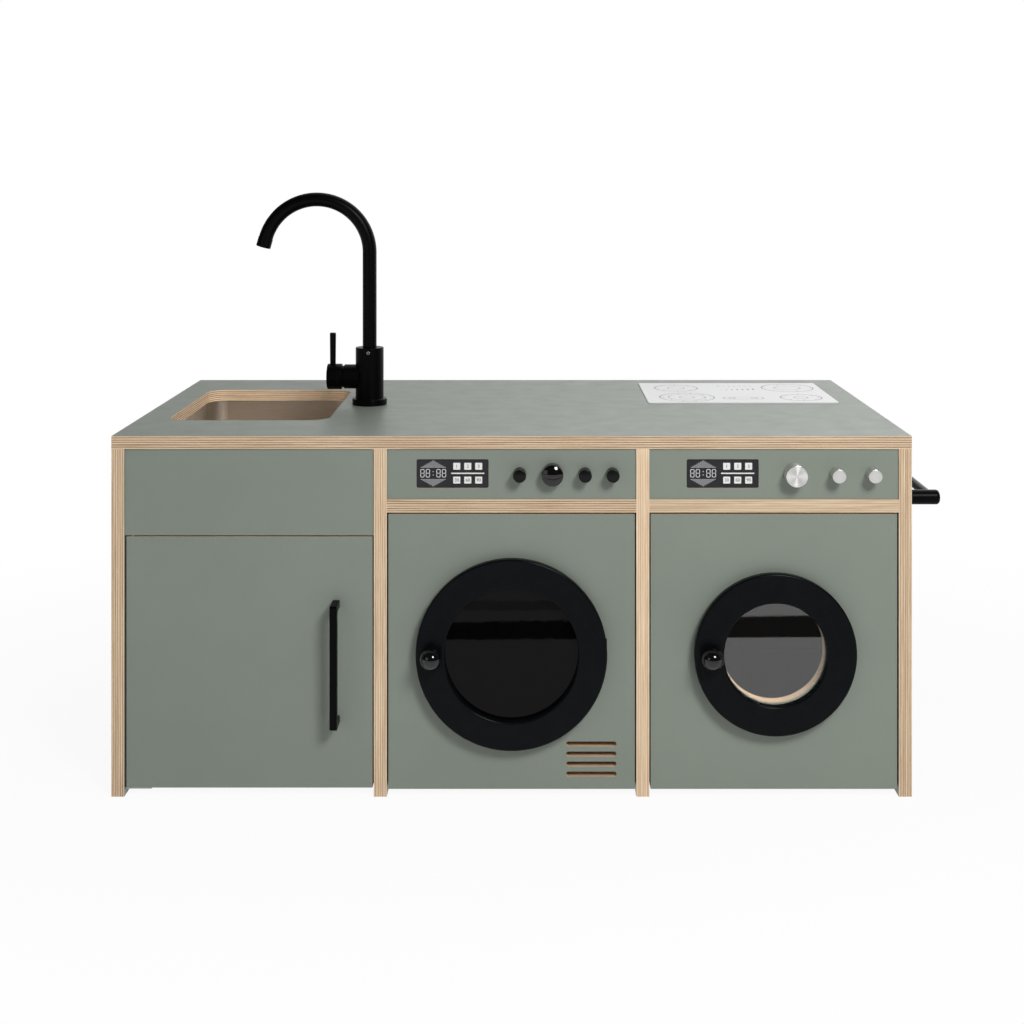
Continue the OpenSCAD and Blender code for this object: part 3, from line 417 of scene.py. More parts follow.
def make_piece(name, grids, material, body, replaces=(), sharp=35, turning=None):
    """One mesh from a list of grids: arrays of rows by columns by 3 in metres whose columns close, or such arrays
    with their two closings. turning is a turned piece's axis, a point and a direction."""
    points, faces, count = [], [], 0
    for grid, close_rows, close_columns in [g if isinstance(g, tuple) else (g, False, True) for g in grids]:
        faces.append(lay_faces(grid.shape[0], grid.shape[1], close_rows, close_columns) + count)
        points.append(grid.reshape(-1, 3))
        count += points[-1].shape[0]
    mesh = bpy.data.meshes.new(name)
    mesh.from_pydata(np.concatenate(points).tolist(), [], np.concatenate(faces).tolist())
    work = bmesh.new()
    work.from_mesh(mesh)
    bmesh.ops.remove_doubles(work, verts=work.verts, dist=1e-6)
    bmesh.ops.dissolve_degenerate(work, edges=work.edges, dist=1e-7)
    bmesh.ops.recalc_face_normals(work, faces=work.faces)
    work.to_mesh(mesh)
    work.free()
    mesh.polygons.foreach_set("use_smooth", np.ones(len(mesh.polygons), bool))
    mesh.set_sharp_from_angle(angle=math.radians(sharp))
    if turning:
        map_turning(mesh, *turning)
    mesh.materials.append(material)
    piece = put(name, mesh)
    piece.modifiers.new("flat_faces_stay_flat", "WEIGHTED_NORMAL").keep_sharp = True
    return dress(piece, body, replaces)


def square_to(direction):
    """A direction at length 1, and two more that are square to it and to each other."""
    along = np.array(direction, float) / np.linalg.norm(direction)
    side = np.cross(along, UP if abs(along[2]) < 0.9 else RIGHT)
    side /= np.linalg.norm(side)
    return along, side, np.cross(along, side)


def vertex_places(mesh):
    """The vertices' places, one row each."""
    where = np.zeros(len(mesh.vertices) * 3)
    mesh.vertices.foreach_get("co", where)
    return where.reshape(-1, 3)


def map_turning(mesh, centre, direction):
    """Fills the map named turning: the turn about the axis, 0 to 1, and the distance from it in metres."""
    corners = np.zeros(len(mesh.loops), int)
    mesh.loops.foreach_get("vertex_index", corners)
    arm = vertex_places(mesh)[corners] - np.array(centre)
    along, side, other = square_to(direction)
    turn = np.arctan2(arm @ other, arm @ side) / (2 * np.pi) % 1.0
    starts, totals = np.zeros(len(mesh.polygons), int), np.zeros(len(mesh.polygons), int)
    mesh.polygons.foreach_get("loop_start", starts)
    mesh.polygons.foreach_get("loop_total", totals)
    first = np.repeat(turn[starts], totals)
    turn += np.where(turn - first > 0.5, -1.0, 0.0) + np.where(turn - first < -0.5, 1.0, 0.0)
    radius = np.linalg.norm(arm - (arm @ along)[:, None] * along, axis=1)
    mesh.uv_layers.new(name="turning").data.foreach_set("uv", np.stack([turn, radius], -1).ravel())


def round_corners(corners, radii, steps=6):
    """Outline with its corners rounded. Each is cut back along its two sides by radius over the tangent of half its
    angle, and a curve of Bezier form joins the cuts."""
    corners = np.array(corners, float)
    before, after = np.roll(corners, 1, 0) - corners, np.roll(corners, -1, 0) - corners
    before /= np.linalg.norm(before, axis=1)[:, None]
    after /= np.linalg.norm(after, axis=1)[:, None]
    half = np.arccos(np.clip((before * after).sum(1), -1, 1)) / 2
    cut = np.array(radii, float) / np.tan(half)
    t = np.linspace(0, 1, steps)[None, :, None]
    start, end = (corners + before * cut[:, None])[:, None], (corners + after * cut[:, None])[:, None]
    weight = np.sin(half)[:, None, None]
    top = (1 - t) ** 2 * start + 2 * t * (1 - t) * weight * corners[:, None] + t ** 2 * end
    return (top / ((1 - t) ** 2 + 2 * t * (1 - t) * weight + t ** 2)).reshape(-1, 2)


def full_turn(columns):
    """Equal steps of one full turn."""
    return np.linspace(0, 2 * np.pi, columns, endpoint=False)


def turned(profile, centre, direction, columns=128):
    """A profile of radius and height turned about an axis: centre plus height along it plus radius times the cosine
    and sine of the turn along two sides square to it."""
    along, side, other = square_to(direction)
    turn = full_turn(columns)[None, :, None]
    radius, height = profile[:, 0][:, None, None], profile[:, 1][:, None, None]
    return np.array(centre) + height * along + radius * (np.cos(turn) * side + np.sin(turn) * other)


def four_quarters(steps):
    """The cosine and sine of the turns round four corners, and the signs of the corner that each belongs to."""
    turn = (np.linspace(0, np.pi / 2, steps) + np.arange(4)[:, None] * np.pi / 2).ravel()
    signs = np.repeat(np.array([(1, 1), (-1, 1), (-1, -1), (1, -1)]), steps, axis=0)
    return np.stack([np.cos(turn), np.sin(turn)], -1), signs


def mm(*corners):
    """Corners given in millimetres, in metres."""
    return np.array(corners, float) * MM


def middle(node):
    """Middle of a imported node's box."""
    low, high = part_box(node)
    return (np.array(low) + np.array(high)) / 2


def back_middle(node):
    """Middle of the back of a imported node's box."""
    return np.array([middle(node)[0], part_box(node)[1].y, middle(node)[2]])


def span(node):
    """Width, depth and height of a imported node's box."""
    low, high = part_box(node)
    return np.array(high) - np.array(low)


print("surface helpers ready")

# %% [markdown]
# ## The tap
# A child's tap of turned and bent steel tube: a foot with a low body, a gooseneck spout that swivels in it, and a
# mixer branch to the left whose cap and lever turn together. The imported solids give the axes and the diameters, and
# the profiles repeat their steps with the small rounds that catch the light.

# %% Where the tap stands
worktop_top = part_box("worktop")[1].z
spout_low, spout_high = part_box("tap_spout")
spout_r = (spout_high.y - spout_low.y) / 2
tap_foot = np.array([spout_high.x - spout_r, middle("tap_spout")[1], worktop_top])
bend_r = 83.5 * MM
bend_angle = math.radians(164.2)
bend_centre_z = spout_high.z - spout_r - bend_r
mixer_centre = np.array([tap_foot[0], tap_foot[1], middle("tap_mixer_cap")[2]])
print("tap foot at", tap_foot.round(4), "bend centre height", round(bend_centre_z - worktop_top, 4))

# %% Foot, body and branch
CHANNEL_R, SHANK_R, SHANK_END, SHANK_TOP = 7, 16.5, -44, 1
FOOT_R, FOOT_TOP, BODY_R, BODY_TOP, SOCKET_R, SOCKET_FLOOR = 27.25, 10, 22, 90, 11.05, 55
BRANCH_R, BRANCH_END, NECK_R, NECK_END, STEM_BORE_R, STEM_FLOOR = 19, 39.5, 17, 43.2, 12.05, 25.5
foot_and_body = round_corners(
    mm((CHANNEL_R, SHANK_END), (SHANK_R, SHANK_END), (SHANK_R, SHANK_TOP), (FOOT_R, SHANK_TOP), (FOOT_R, FOOT_TOP),
       (BODY_R, FOOT_TOP), (BODY_R, BODY_TOP), (SOCKET_R, BODY_TOP), (SOCKET_R, SOCKET_FLOOR),
       (CHANNEL_R, SOCKET_FLOOR)), mm(0, 0.5, 0, 0.5, 1.6, 0.5, 1.0, 0.6, 0, 0))
branch = round_corners(
    mm((0, 15), (BRANCH_R, 15), (BRANCH_R, BRANCH_END), (NECK_R, BRANCH_END), (NECK_R, NECK_END),
       (STEM_BORE_R, NECK_END), (STEM_BORE_R, STEM_FLOOR), (0, STEM_FLOOR)), mm(0, 0, 0.7, 0.2, 0.2, 0.2, 0, 0))
tap_body = make_piece("tap_body_casting",
                      [(turned(foot_and_body, tap_foot, UP), True, True), turned(branch, mixer_centre, LEFT)],
                      satin_black, "cabinet", ["tap_body"])
grub = round_corners(mm((0, -2), (2.7, -2), (2.7, 0.6), (1.3, 0.6), (1.3, -0.8), (0, -0.8)),
                     mm(0, 0, 0.4, 0.2, 0, 0))
grub_place = tap_foot + mm(0, -BODY_R, 83)
make_piece("tap_grub_screw", [turned(grub, grub_place, FRONT, 48)], small_steel, "cabinet")
print("tap body faces", len(tap_body.data.polygons))


# %% Gooseneck spout
def bent_tube(foot, from_z, centre_z, radius, angle, outer, inner, columns=64, rise_rows=13, bend_rows=120):
    """A tube that rises straight and then bends to the left. At turn a its middle line lies at the bend's radius
    times (cos a - 1) to the side and sin a up, and its section spans (cos a, 0, sin a) and the Y axis. The rows run
    up the outside of the wall and back down the inside."""
    rise = np.linspace(from_z, centre_z, rise_rows + 1)[:-1]
    a = np.concatenate([np.zeros(rise_rows), np.linspace(0, angle, bend_rows)])
    z = np.concatenate([rise, np.full(bend_rows, centre_z)])
    line = np.stack([foot[0] + radius * (np.cos(a) - 1), np.full(len(a), foot[1]), z + radius * np.sin(a)], -1)
    out = np.stack([np.cos(a), np.zeros(len(a)), np.sin(a)], -1)
    line, out = np.concatenate([line, line[::-1]]), np.concatenate([out, out[::-1]])
    wall = np.repeat([outer, inner], len(a))[:, None, None]
    turn = full_turn(columns)[None, :, None]
    return line[:, None] + wall * (np.cos(turn) * out[:, None] + np.sin(turn) * np.array(BACK))


spout_tube = bent_tube(tap_foot, spout_low.z, bend_centre_z, bend_r, bend_angle, spout_r, spout_r - 1.5 * MM)
spout = make_piece("tap_gooseneck", [(spout_tube, True, True)], satin_black, "tap_spout", ["tap_spout"])
spout_end = tap_foot * (1, 1, 0) + np.array([bend_r * (math.cos(bend_angle) - 1), 0,
                                             bend_centre_z + bend_r * math.sin(bend_angle)])
spout_way = (-math.sin(bend_angle), 0, math.cos(bend_angle))
COLLAR_R, COLLAR_L, OUTLET_R, PLUG_R, PLUG_L = 11.5, 15, 8, 9.45, 5
collar = round_corners(mm((0, -PLUG_L), (PLUG_R, -PLUG_L), (PLUG_R, 0), (COLLAR_R, 0), (COLLAR_R, COLLAR_L),
                          (OUTLET_R, COLLAR_L), (OUTLET_R, 5), (0, 5)), mm(0, 0.3, 0, 0.4, 1.0, 0.5, 0, 0))
make_piece("tap_outlet_collar", [turned(collar, spout_end, spout_way, 64)], satin_black, "tap_spout",
           ["tap_aerator"])
print("spout faces", len(spout.data.polygons))

# %% Mixer cap and lever
CAP_R, CAP_START, STEM_R, STEM_END = 20, 43.5, 12, 25.8
cap_end = (tap_foot[0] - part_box("tap_mixer_cap")[0].x) / MM
cap = round_corners(mm((0, STEM_END), (STEM_R, STEM_END), (STEM_R, CAP_START), (CAP_R, CAP_START), (CAP_R, cap_end),
                       (0, cap_end)), mm(0, 0.5, 0, 0.6, 1.6, 0))
make_piece("tap_mixer_barrel", [turned(cap, mixer_centre, LEFT)], satin_black, "tap_mixer",
           ["tap_mixer_cap"])
LEVER_R, LEVER_TOP_R, LEVER_L, LEVER_FOOT = 4.5, 4.9, 49, -3
lever_foot = np.array([middle("tap_lever")[0], tap_foot[1], mixer_centre[2] + CAP_R * MM])
stick = round_corners(mm((0, LEVER_FOOT), (LEVER_R, LEVER_FOOT), (LEVER_R, 0), (LEVER_TOP_R, LEVER_L), (0, LEVER_L)),
                      mm(0, 0, 0, 1.5, 0))
make_piece("tap_mixer_lever", [turned(stick, lever_foot, UP, 48)], satin_black, "tap_mixer",
           ["tap_lever"])

# %% [markdown]
# ## The pressed bowl
# The bowl is one sheet of steel, drawn down through a round-cornered rectangle. Its section runs up the fillet and
# the wall, turns out under the worktop as a rim, and comes back along the outside. It is carried round the
# rectangle, and at each corner it turns about the corner's own centre.

# %% Sink bowl
SHEET_T, WALL, RIM, FILLET = 1.2, 32, 46, 24
bowl_centre = middle("sink_bowl") * (1, 1, 0) + np.array([0, 0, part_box("sink_bowl")[1].z])
half_span = span("sink_bowl")[:2] / 2 - RIM * MM
bowl_depth = span("sink_bowl")[2]


def round_the_rectangle(section, centre, half, steps=14):
    """A section of outward distance and height, carried round a rectangle. A column has one direction, the cosine
    and sine of its turn, and the corner whose quarter that turn lies in."""
    ways, signs = four_quarters(steps)
    plan = signs * half + section[:, 0][:, None, None] * ways
    height = np.broadcast_to(section[:, 1][:, None, None], (*plan.shape[:2], 1))
    return np.concatenate([plan, height], -1) + centre


deep = bowl_depth / MM
bowl_section = round_corners(
    mm((0, SHEET_T - deep), (WALL, SHEET_T - deep), (WALL, 0), (RIM, 0), (RIM, -SHEET_T), (WALL + SHEET_T, -SHEET_T),
       (WALL + SHEET_T, -deep), (0, -deep)), mm(0, FILLET, 1.0, 0.3, 0.3, 0.6, FILLET + SHEET_T, 0), 10)
floors = [np.array([[[x * half_span[0], y * half_span[1], z] for x in (-1, 1)] for y in (-1, 1)]) + bowl_centre
          for z in (SHEET_T * MM - bowl_depth, -bowl_depth)]
bowl = make_piece("pressed_sink_bowl", [round_the_rectangle(bowl_section, bowl_centre, half_span)]
                  + [(sheet, False, False) for sheet in floors], bowl_steel_with_painted_reflection, "cabinet", ["sink_bowl"])
print("bowl faces", len(bowl.data.polygons))

# %% [markdown]
# ## The round doors
# Each round door is a lacquered ring with a disc let into its back, and a ball to pull it by. The ring's front
# edges are rounded, and the round is what draws the thin light line at the upper right. Its outer back edge is
# eased by 5 mm, so that less of the ring's side shows from above, as in the photo.

# %% Rings, discs and balls
RING_T, RING_EDGE, BACK_EASE, LIP, LIP_GAP, PANE_T = 15, 3, 5, 6, 0.05, 3
BALL_R, BALL_FOOT_R, STUD_R, STUD_L = 15, 7, 2, 8


def round_door(machine, glass):
    """The ring is one closed section turned about the door's axis. The ball's outline is the sine and cosine of its
    circle, from where it leaves the foot to its top."""
    ring_node, window_node, knob_node = [machine + "_door" + end for end in ("_ring", "_window", "_knob")]
    centre = back_middle(ring_node)
    door_r = span(ring_node)[0] / 2 / MM
    window_r = span(window_node)[0] / 2 / MM - LIP
    body = machine + "_door"
    rebate_r = window_r + LIP + LIP_GAP
    section = round_corners(mm((rebate_r, 0), (door_r, 0), (door_r, RING_T), (window_r, RING_T), (window_r, PANE_T),
                               (rebate_r, PANE_T)), mm(0.3, BACK_EASE, RING_EDGE, RING_EDGE, 0.3, 0), 9)
    make_piece(machine + "_lacquered_ring", [(turned(section, centre, FRONT, 192), True, True)], lacquer_black, body,
               [ring_node])
    disc = round_corners(mm((0, 0), (window_r + LIP, 0), (window_r + LIP, PANE_T), (0, PANE_T)), mm(0, 0.3, 0.3, 0))
    pane = make_piece(machine + "_window_disc", [turned(disc, centre, FRONT, 160)], glass, body,
                      [window_node])
    pane.visible_shadow = glass is not clear_acrylic
    place = np.array([middle(knob_node)[0], centre[1] - RING_T * MM, centre[2]])
    a = np.linspace(math.pi - math.asin(BALL_FOOT_R / BALL_R), 0, 40)
    ball = np.concatenate([mm((0, -STUD_L), (STUD_R, -STUD_L), (STUD_R, 0), (BALL_FOOT_R, 0)),
                           BALL_R * MM * np.stack([np.sin(a), 1 + np.cos(a)], -1)])
    make_piece(machine + "_ball_knob", [turned(ball, place, FRONT, 72)], gloss_black, body,
               [knob_node])
    return centre


dryer_centre = round_door("dryer", smoked_acrylic)
washer_centre = round_door("washer", clear_acrylic)
print("door centres", dryer_centre.round(4), washer_centre.round(4))

# %% [markdown]
# ## Knobs and dials
# All seven controls are turned and sit on a steel axle. The black ones are domed: the lower of two arcs, the crown
# across the face and the round at the rim. The silver ones are flat with a crisp edge.

# %% Turned controls
BORE_R, BORE_L, BACK_EDGE = 2.55, 14.2, 0.4


def knob_profile(radius, length, edge, crown):
    """Height of the front over the radius: the lower of the crown's circle and the rim's. The profile starts in the
    axle's bore and runs along the back and up the side to the middle of the face."""
    quarter = np.linspace(0, np.pi / 2, 14)[1:]
    r = np.concatenate([np.full(2, radius), radius - edge * (1 - np.cos(quarter)),
                        np.linspace(radius - edge, 0, 24)[1:]])
    drop = np.sqrt(np.clip(edge ** 2 - (r - radius + edge) ** 2, 0, None))
    rim = np.where(r > radius - edge, length - edge + drop, length)
    face = length - crown + np.sqrt(crown ** 2 - r ** 2) if crown else np.full(len(r), length)
    front = np.stack([r, np.minimum(rim, face)], -1)[1:]
    back = [[radius - BACK_EDGE * MM, 0], [radius, BACK_EDGE * MM]]
    return np.concatenate([mm((0, BORE_L), (BORE_R, BORE_L), (BORE_R, 0)), back, front])


def control(node, material, edge, crown=0.0):
    """One turned control in place of a packed one, with its rim's round and its crown in millimetres."""
    width, length, _ = span(node)
    centre = back_middle(node)
    profile = knob_profile(width / 2, length, edge * MM, crown * MM)
    name = node.replace("_knob", "").replace("_dial", "") + "_control"
    make_piece(name, [turned(profile, centre, FRONT, 96)], material, node, [node], turning=(centre, FRONT))


for node in ("dryer_power_knob", "dryer_heat_knob", "dryer_time_knob"):
    control(node, knob_black, 2.5, 40)
control("dryer_program_dial", gloss_black, 7, 26)
control("washer_program_dial", turned_aluminium, 0.8)
for node in ("washer_temperature_knob", "washer_spin_knob"):
    control(node, satin_aluminium, 0.8)
print("controls", 7)

# %% [markdown]
# ## Bar handle and towel rail
# The cupboard's handle is a square bar, slightly rounded at its two corners. A square section carried round a sharp
# corner would pinch, so the inside and the outside of the bend are two lines with the same number of points, and
# the section is stretched between them. The towel rail is a round bar between two posts.

# %% Handle
handle_low, handle_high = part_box("door_handle")
bar_t = handle_high.x - handle_low.x
corner_r = 3 * MM


def bar_between(outer, inner, low_x, high_x, edge):
    """A bar whose section at each row spans from a point of the inner line to one of the outer line, and from low_x
    to high_x: a rectangle with its corners cut back by the edge's length."""
    share = edge / (high_x - low_x)
    u = np.array([share, 1 - share, 1, 1, 1 - share, share, 0, 0])
    v = np.array([0, 0, share, 1 - share, 1, 1, 1 - share, share])
    plane = inner[:, None] + (outer - inner)[:, None] * u[None, :, None]
    x = np.broadcast_to(low_x + (high_x - low_x) * v, plane.shape[:2])
    return np.concatenate([x[..., None], plane], -1)


def handle_lines(front_y, back_y, low_z, high_z):
    """The outer line with round corners and the inner one with sharp ones, from the upper foot to the lower."""
    quarter = np.linspace(0, np.pi / 2, 7)[:, None]
    sine, cosine = np.sin(quarter), np.cos(quarter)
    upper = np.array([front_y + corner_r, high_z - corner_r]) + corner_r * np.concatenate([-sine, cosine], 1)
    lower = np.array([front_y + corner_r, low_z + corner_r]) + corner_r * np.concatenate([-cosine, -sine], 1)
    outer = np.concatenate([[[back_y, high_z]], upper, lower, [[back_y, low_z]]])
    inside, under, over = front_y + bar_t, high_z - bar_t, low_z + bar_t
    inner = np.concatenate([[[back_y, under]], np.repeat([[inside, under]], len(quarter), 0),
                            np.repeat([[inside, over]], len(quarter), 0), [[back_y, over]]])
    return outer, inner


handle_bar = bar_between(*handle_lines(handle_low.y, handle_high.y, handle_low.z, handle_high.z),
                         handle_low.x, handle_high.x, 0.5 * MM)
make_piece("square_bar_handle", [handle_bar], satin_black, "cabinet_door", ["door_handle"], sharp=50)
print("handle", round(handle_high.z - handle_low.z, 4), "long")

# %% Towel rail
POST_R, POST_L, POST_STUD_R, POST_STUD_L = 10.5, 60, 4, 12
bar_low, bar_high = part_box("towel_rail_bar")
bar_r, bar_l = (bar_high.x - bar_low.x) / 2, bar_high.y - bar_low.y
panel_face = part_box("right_side_panel")[1].x
post_section = round_corners(mm((0, -POST_STUD_L), (POST_STUD_R, -POST_STUD_L), (POST_STUD_R, 0), (POST_R, 0),
                                (POST_R, POST_L), (0, POST_L)), mm(0, 0, 0, 0.4, 5, 0), 9)
make_piece("towel_rail_round_posts",
           [turned(post_section, (panel_face, y, middle("towel_rail_posts")[2]), RIGHT, 72)
            for y in (bar_low.y, bar_high.y)],
           satin_black, "cabinet", ["towel_rail_posts"])
bar_section = round_corners([(0, 0), (bar_r, 0), (bar_r, bar_l), (0, bar_l)], mm(0, 0.4, 0.4, 0))
make_piece("towel_rail_round_bar",
           [turned(bar_section, (bar_low.x + bar_r, bar_low.y, bar_low.z + bar_r), BACK, 64)],
           satin_black, "cabinet", ["towel_rail_bar"])
print("towel rail", round(bar_l, 3), "between the posts")

# %% [markdown]
# ## Printed controls
# The displays are black plates with printed digits, arrows and buttons, and the hob is a white plate with grey line
# drawings. A print has no thickness that shows, so each is a flat mesh a few hundredths of a millimetre over its
# plate. Rings and rounded squares are strips between two outlines, and a bar is a strip between two edges.

# %% Flat shapes
def on_plate(points, origin, right, up):
    """A flat drawing in millimetres, put on a plate: the origin plus x along right and y along up."""
    return np.array(origin) + MM * (points[..., :1] * np.array(right) + points[..., 1:] * np.array(up))


def rounded_loop(width, height, radius):
    """Outline of a rectangle with round corners: each corner's centre plus the radius along its quarter's ways."""
    ways, signs = four_quarters(6)
    return signs * (np.array([width, height]) / 2 - radius) + radius * ways


def outline_strip(x, y, width, height, radius, stroke):
    """The strip between a rounded outline and the same one set in by the stroke."""
    inner = rounded_loop(width - 2 * stroke, height - 2 * stroke, max(radius - stroke, 0.05))
    return np.stack([rounded_loop(width, height, radius), inner]) + np.array([x, y])


def filled(x, y, width, height, radius):
    """A filled rounded rectangle: the outline and its middle."""
    loop = rounded_loop(width, height, radius)
    return np.stack([loop, np.zeros_like(loop)]) + np.array([x, y])


def ring_strip(x, y, radius, stroke):
    """A ring between two radii."""
    turn = full_turn(72)
    ring = np.stack([np.cos(turn), np.sin(turn)], -1)
    return np.stack([ring * (radius + stroke / 2), ring * (radius - stroke / 2)]) + np.array([x, y])


def straight(start, end, stroke):
    """A line from one point to another, half a stroke to each side."""
    a, b = np.array(start, float), np.array(end, float)
    side = np.array([-(b - a)[1], (b - a)[0]]) / np.linalg.norm(b - a) * stroke / 2
    return np.array([[a + side, b + side], [a - side, b - side]])


def print_on(name, shapes, plate, ink):
    """One flat piece of many strips. plate is its origin and two directions. A strip of two columns is a bar, and
    one of more closes on itself."""
    grids = [(on_plate(shape, *plate), False, shape.shape[1] > 2) for shape in shapes]
    make_piece(name, grids, ink, "cabinet")


def numerals(name, words, plate, ink):
    """Plain numerals from Blender's own font, each with its middle, size and text, joined to one mesh."""
    points, faces, count = [], [], 0
    for x, y, size, word in words:
        text = bpy.data.curves.new(name, "FONT")
        text.body, text.size, text.align_x, text.align_y = word, size, "CENTER", "CENTER"
        holder = put(name + "_text", text)
        bpy.context.view_layer.update()
        made = bpy.data.meshes.new_from_object(holder.evaluated_get(bpy.context.evaluated_depsgraph_get()))
        points.append(on_plate(vertex_places(made)[:, :2] + np.array([x, y]), *plate))
        faces += [[v + count for v in polygon.vertices] for polygon in made.polygons]
        count += len(made.vertices)
        bpy.data.objects.remove(holder)
        bpy.data.curves.remove(text)
        bpy.data.meshes.remove(made)
    mesh = bpy.data.meshes.new(name)
    mesh.from_pydata(np.concatenate(points).tolist(), [], faces)
    mesh.materials.append(ink)
    dress(put(name, mesh), "cabinet")


def ink(name, colour, roughness=0.45):
    """Printing ink: one colour with the slight unevenness of a screen print."""
    made, tree, shader = start_material(name, colour, roughness, Specular_IOR_Level=0.3)
    uneven = noise(tree, 350)
    wire(shader, Base_Color=ramp(tree, uneven, (0.3, shade(colour, 0.93)), (0.7, colour)),
         Roughness=calc(tree, "MULTIPLY_ADD", uneven, 0.1, roughness - 0.05))
    return made


print("flat shapes ready")

# %% Displays
digit_ink = ink("display_digit_ink", rgb(206, 206, 208))
arrow_ink = ink("display_arrow_ink", rgb(158, 158, 160))
button_ink = ink("display_button_ink", rgb(228, 228, 226))
numeral_ink = ink("display_numeral_ink", rgb(28, 28, 30))
DIGIT_X, ARROW_X, BUTTON_X = (-41.9, -34.3, -19.6, -11.9), -26.8, (5.8, 21.1, 36.3)
PRINT_LIFT, NUMERAL_LIFT = 0.05 * MM, 0.04 * MM


def digit_eight(x, y):
    """A digit of two stacked rounded outlines that share their middle stroke."""
    return [outline_strip(x, y + side * 2.65, 5.9, 6.25, 2.0, 0.95) for side in (-1, 1)]


def stacked_arrow(side):
    """Seven thin bars that get shorter away from the digits; side is 1 above them and -1 below."""
    return [filled(ARROW_X, side * height, width, 0.85, 0.3)
            for height, width in zip(np.linspace(8.4, 17.2, 7), np.linspace(35, 3.5, 7))]


def dress_display(machine):
    """One display's prints: four digits and a colon, two arrows, six buttons with numerals, and a bar."""
    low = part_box(machine + "_display")[0]
    x, _, z = middle(machine + "_display")
    plate = ((x, low.y - PRINT_LIFT, z), RIGHT, UP)
    lifted = ((x, low.y - PRINT_LIFT - NUMERAL_LIFT, z), RIGHT, UP)
    digits = [shape for x in DIGIT_X for shape in digit_eight(x, 0.2)]
    digits += [filled(-26.9, y, 1.3, 1.3, 0.6) for y in (-2.1, 2.5)]
    buttons = [filled(x, y, 9.8, 9.6, 0.8) for x in BUTTON_X for y in (9.9, -9.3)]
    buttons += [filled(21.0, 0.1, 46.4, 1.7, 0.8)]
    words = [(x, y, 6.2, word) for y, row in ((9.8, "123"), (-9.4, ("30", "60", "90")))
             for x, word in zip(BUTTON_X, row)]
    print_on(machine + "_display_digits", digits, plate, digit_ink)
    print_on(machine + "_display_arrows", stacked_arrow(1) + stacked_arrow(-1), plate, arrow_ink)
    print_on(machine + "_display_buttons", buttons, plate, button_ink)
    numerals(machine + "_display_numerals", words, lifted, numeral_ink)


dress_display("dryer")
dress_display("washer")
print("displays printed")

# %% [markdown]
# ## The hob
# The real plate is printed with its own drawing of hob rings. Here it gets a plain one of the same fineness and
# grey: four rings with ticks, a strip of level marks and numerals, laid out another way round.

# %% Hob plate and its print
hob_white, tree, shader = start_material("white_hob_enamel", rgb(226, 226, 226), 0.3, Specular_IOR_Level=0.35)
clouds = noise(tree, 9, 3.0)
wire(shader, Base_Color=ramp(tree, clouds, (0.3, rgb(220, 220, 221)), (0.7, rgb(229, 229, 228))),
     Roughness=calc(tree, "MULTIPLY_ADD", clouds, 0.12, 0.25))
bump(shader, noise(tree, 500), 0.06, 0.0002)
wear("hob_plate", hob_white)
hob_x, hob_y, _ = middle("hob_plate")
hob_plane = ((hob_x, hob_y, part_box("hob_plate")[1].z + 0.04 * MM), RIGHT, BACK)
hob_ink = ink("hob_ring_ink", rgb(134, 134, 138), 0.5)
MARKS, MARK_START, MARK_STEP, MARK_Y, MARK_NUMERAL_Y = 7, -18, 9, 26, 70


def burner(x, y, radius, ticks, inner):
    """A ring with short ticks across it, and smaller rings inside."""
    turns = np.radians(np.arange(ticks) * 360 / ticks + 45)
    centre, ways = np.array([x, y]), np.stack([np.cos(turns), np.sin(turns)], -1)
    marks = [straight(centre + way * (radius - 7), centre + way * (radius - 2.5), 1.6) for way in ways]
    return [ring_strip(x, y, radius, 1.7)] + [ring_strip(x, y, r, 1.3) for r in inner] + marks


hob_shapes = (burner(-92, 48, 36, 8, (14,)) + burner(-84, -52, 44, 12, (30, 12))
              + burner(96, 50, 43, 6, (22,)) + burner(100, -56, 33, 8, (11,)))
for i in range(MARKS):
    mark_x = MARK_START + i * MARK_STEP
    hob_shapes.append(straight((mark_x, MARK_Y), (mark_x, MARK_Y + 3 + i * 2.2), 2.2))
hob_shapes += [outline_strip(6, -62, 66, 22, 8, 1.3), ring_strip(-12, -62, 5, 1.4), ring_strip(24, -62, 5, 1.4)]
print_on("hob_ring_print", hob_shapes, hob_plane, hob_ink)
numerals("hob_numerals", [(MARK_START + i * MARK_STEP, MARK_NUMERAL_Y, 8.5, str(i)) for i in range(MARKS)],
         hob_plane, hob_ink)
print("hob shapes", len(hob_shapes))

# %% [markdown]
# ## Small hardware
# Hinge leaves, pins, pivots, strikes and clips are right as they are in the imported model. They get the finish
# that such pieces come with: zinc-plated steel, black-plated hinge leaves, and a plastic magnet box.

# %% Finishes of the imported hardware
strip_wood, tree, shader = start_material("birch_strip", roughness=0.6, Specular_IOR_Level=0.3)
grain = noise(tree, (60, 60, 4), 4.0, 0.6, 0.5, 4.0)
wire(shader, Base_Color=ramp(tree, grain, (0.3, rgb(196, 162, 122)), (0.7, rgb(226, 200, 162))),
     Roughness=calc(tree, "MULTIPLY_ADD", grain, 0.2, 0.5))
bump(shader, grain, 0.3, 0.0005)
hardware = {"panel_cleats": strip_wood, "tap_gasket": rubber_black, "cabinet_catch": knob_black,
            "dryer_display": display_black, "washer_display": display_black,
            "hinge_fixed_leaves": satin_black, "dryer_hinge_leaf": satin_black, "washer_hinge_leaf": satin_black}
hardware.update({node: small_steel for node in
                 ("sink_clips", "tap_backnut", "knob_axles", "handle_screws", "door_top_pivot", "door_bottom_pivot",
                  "cabinet_door_strike", "catch_magnets", "hinge_pins", "dryer_door_strike", "washer_door_strike")})
for node, material in hardware.items():
    wear(node, material)
print("hardware dressed", len(hardware))

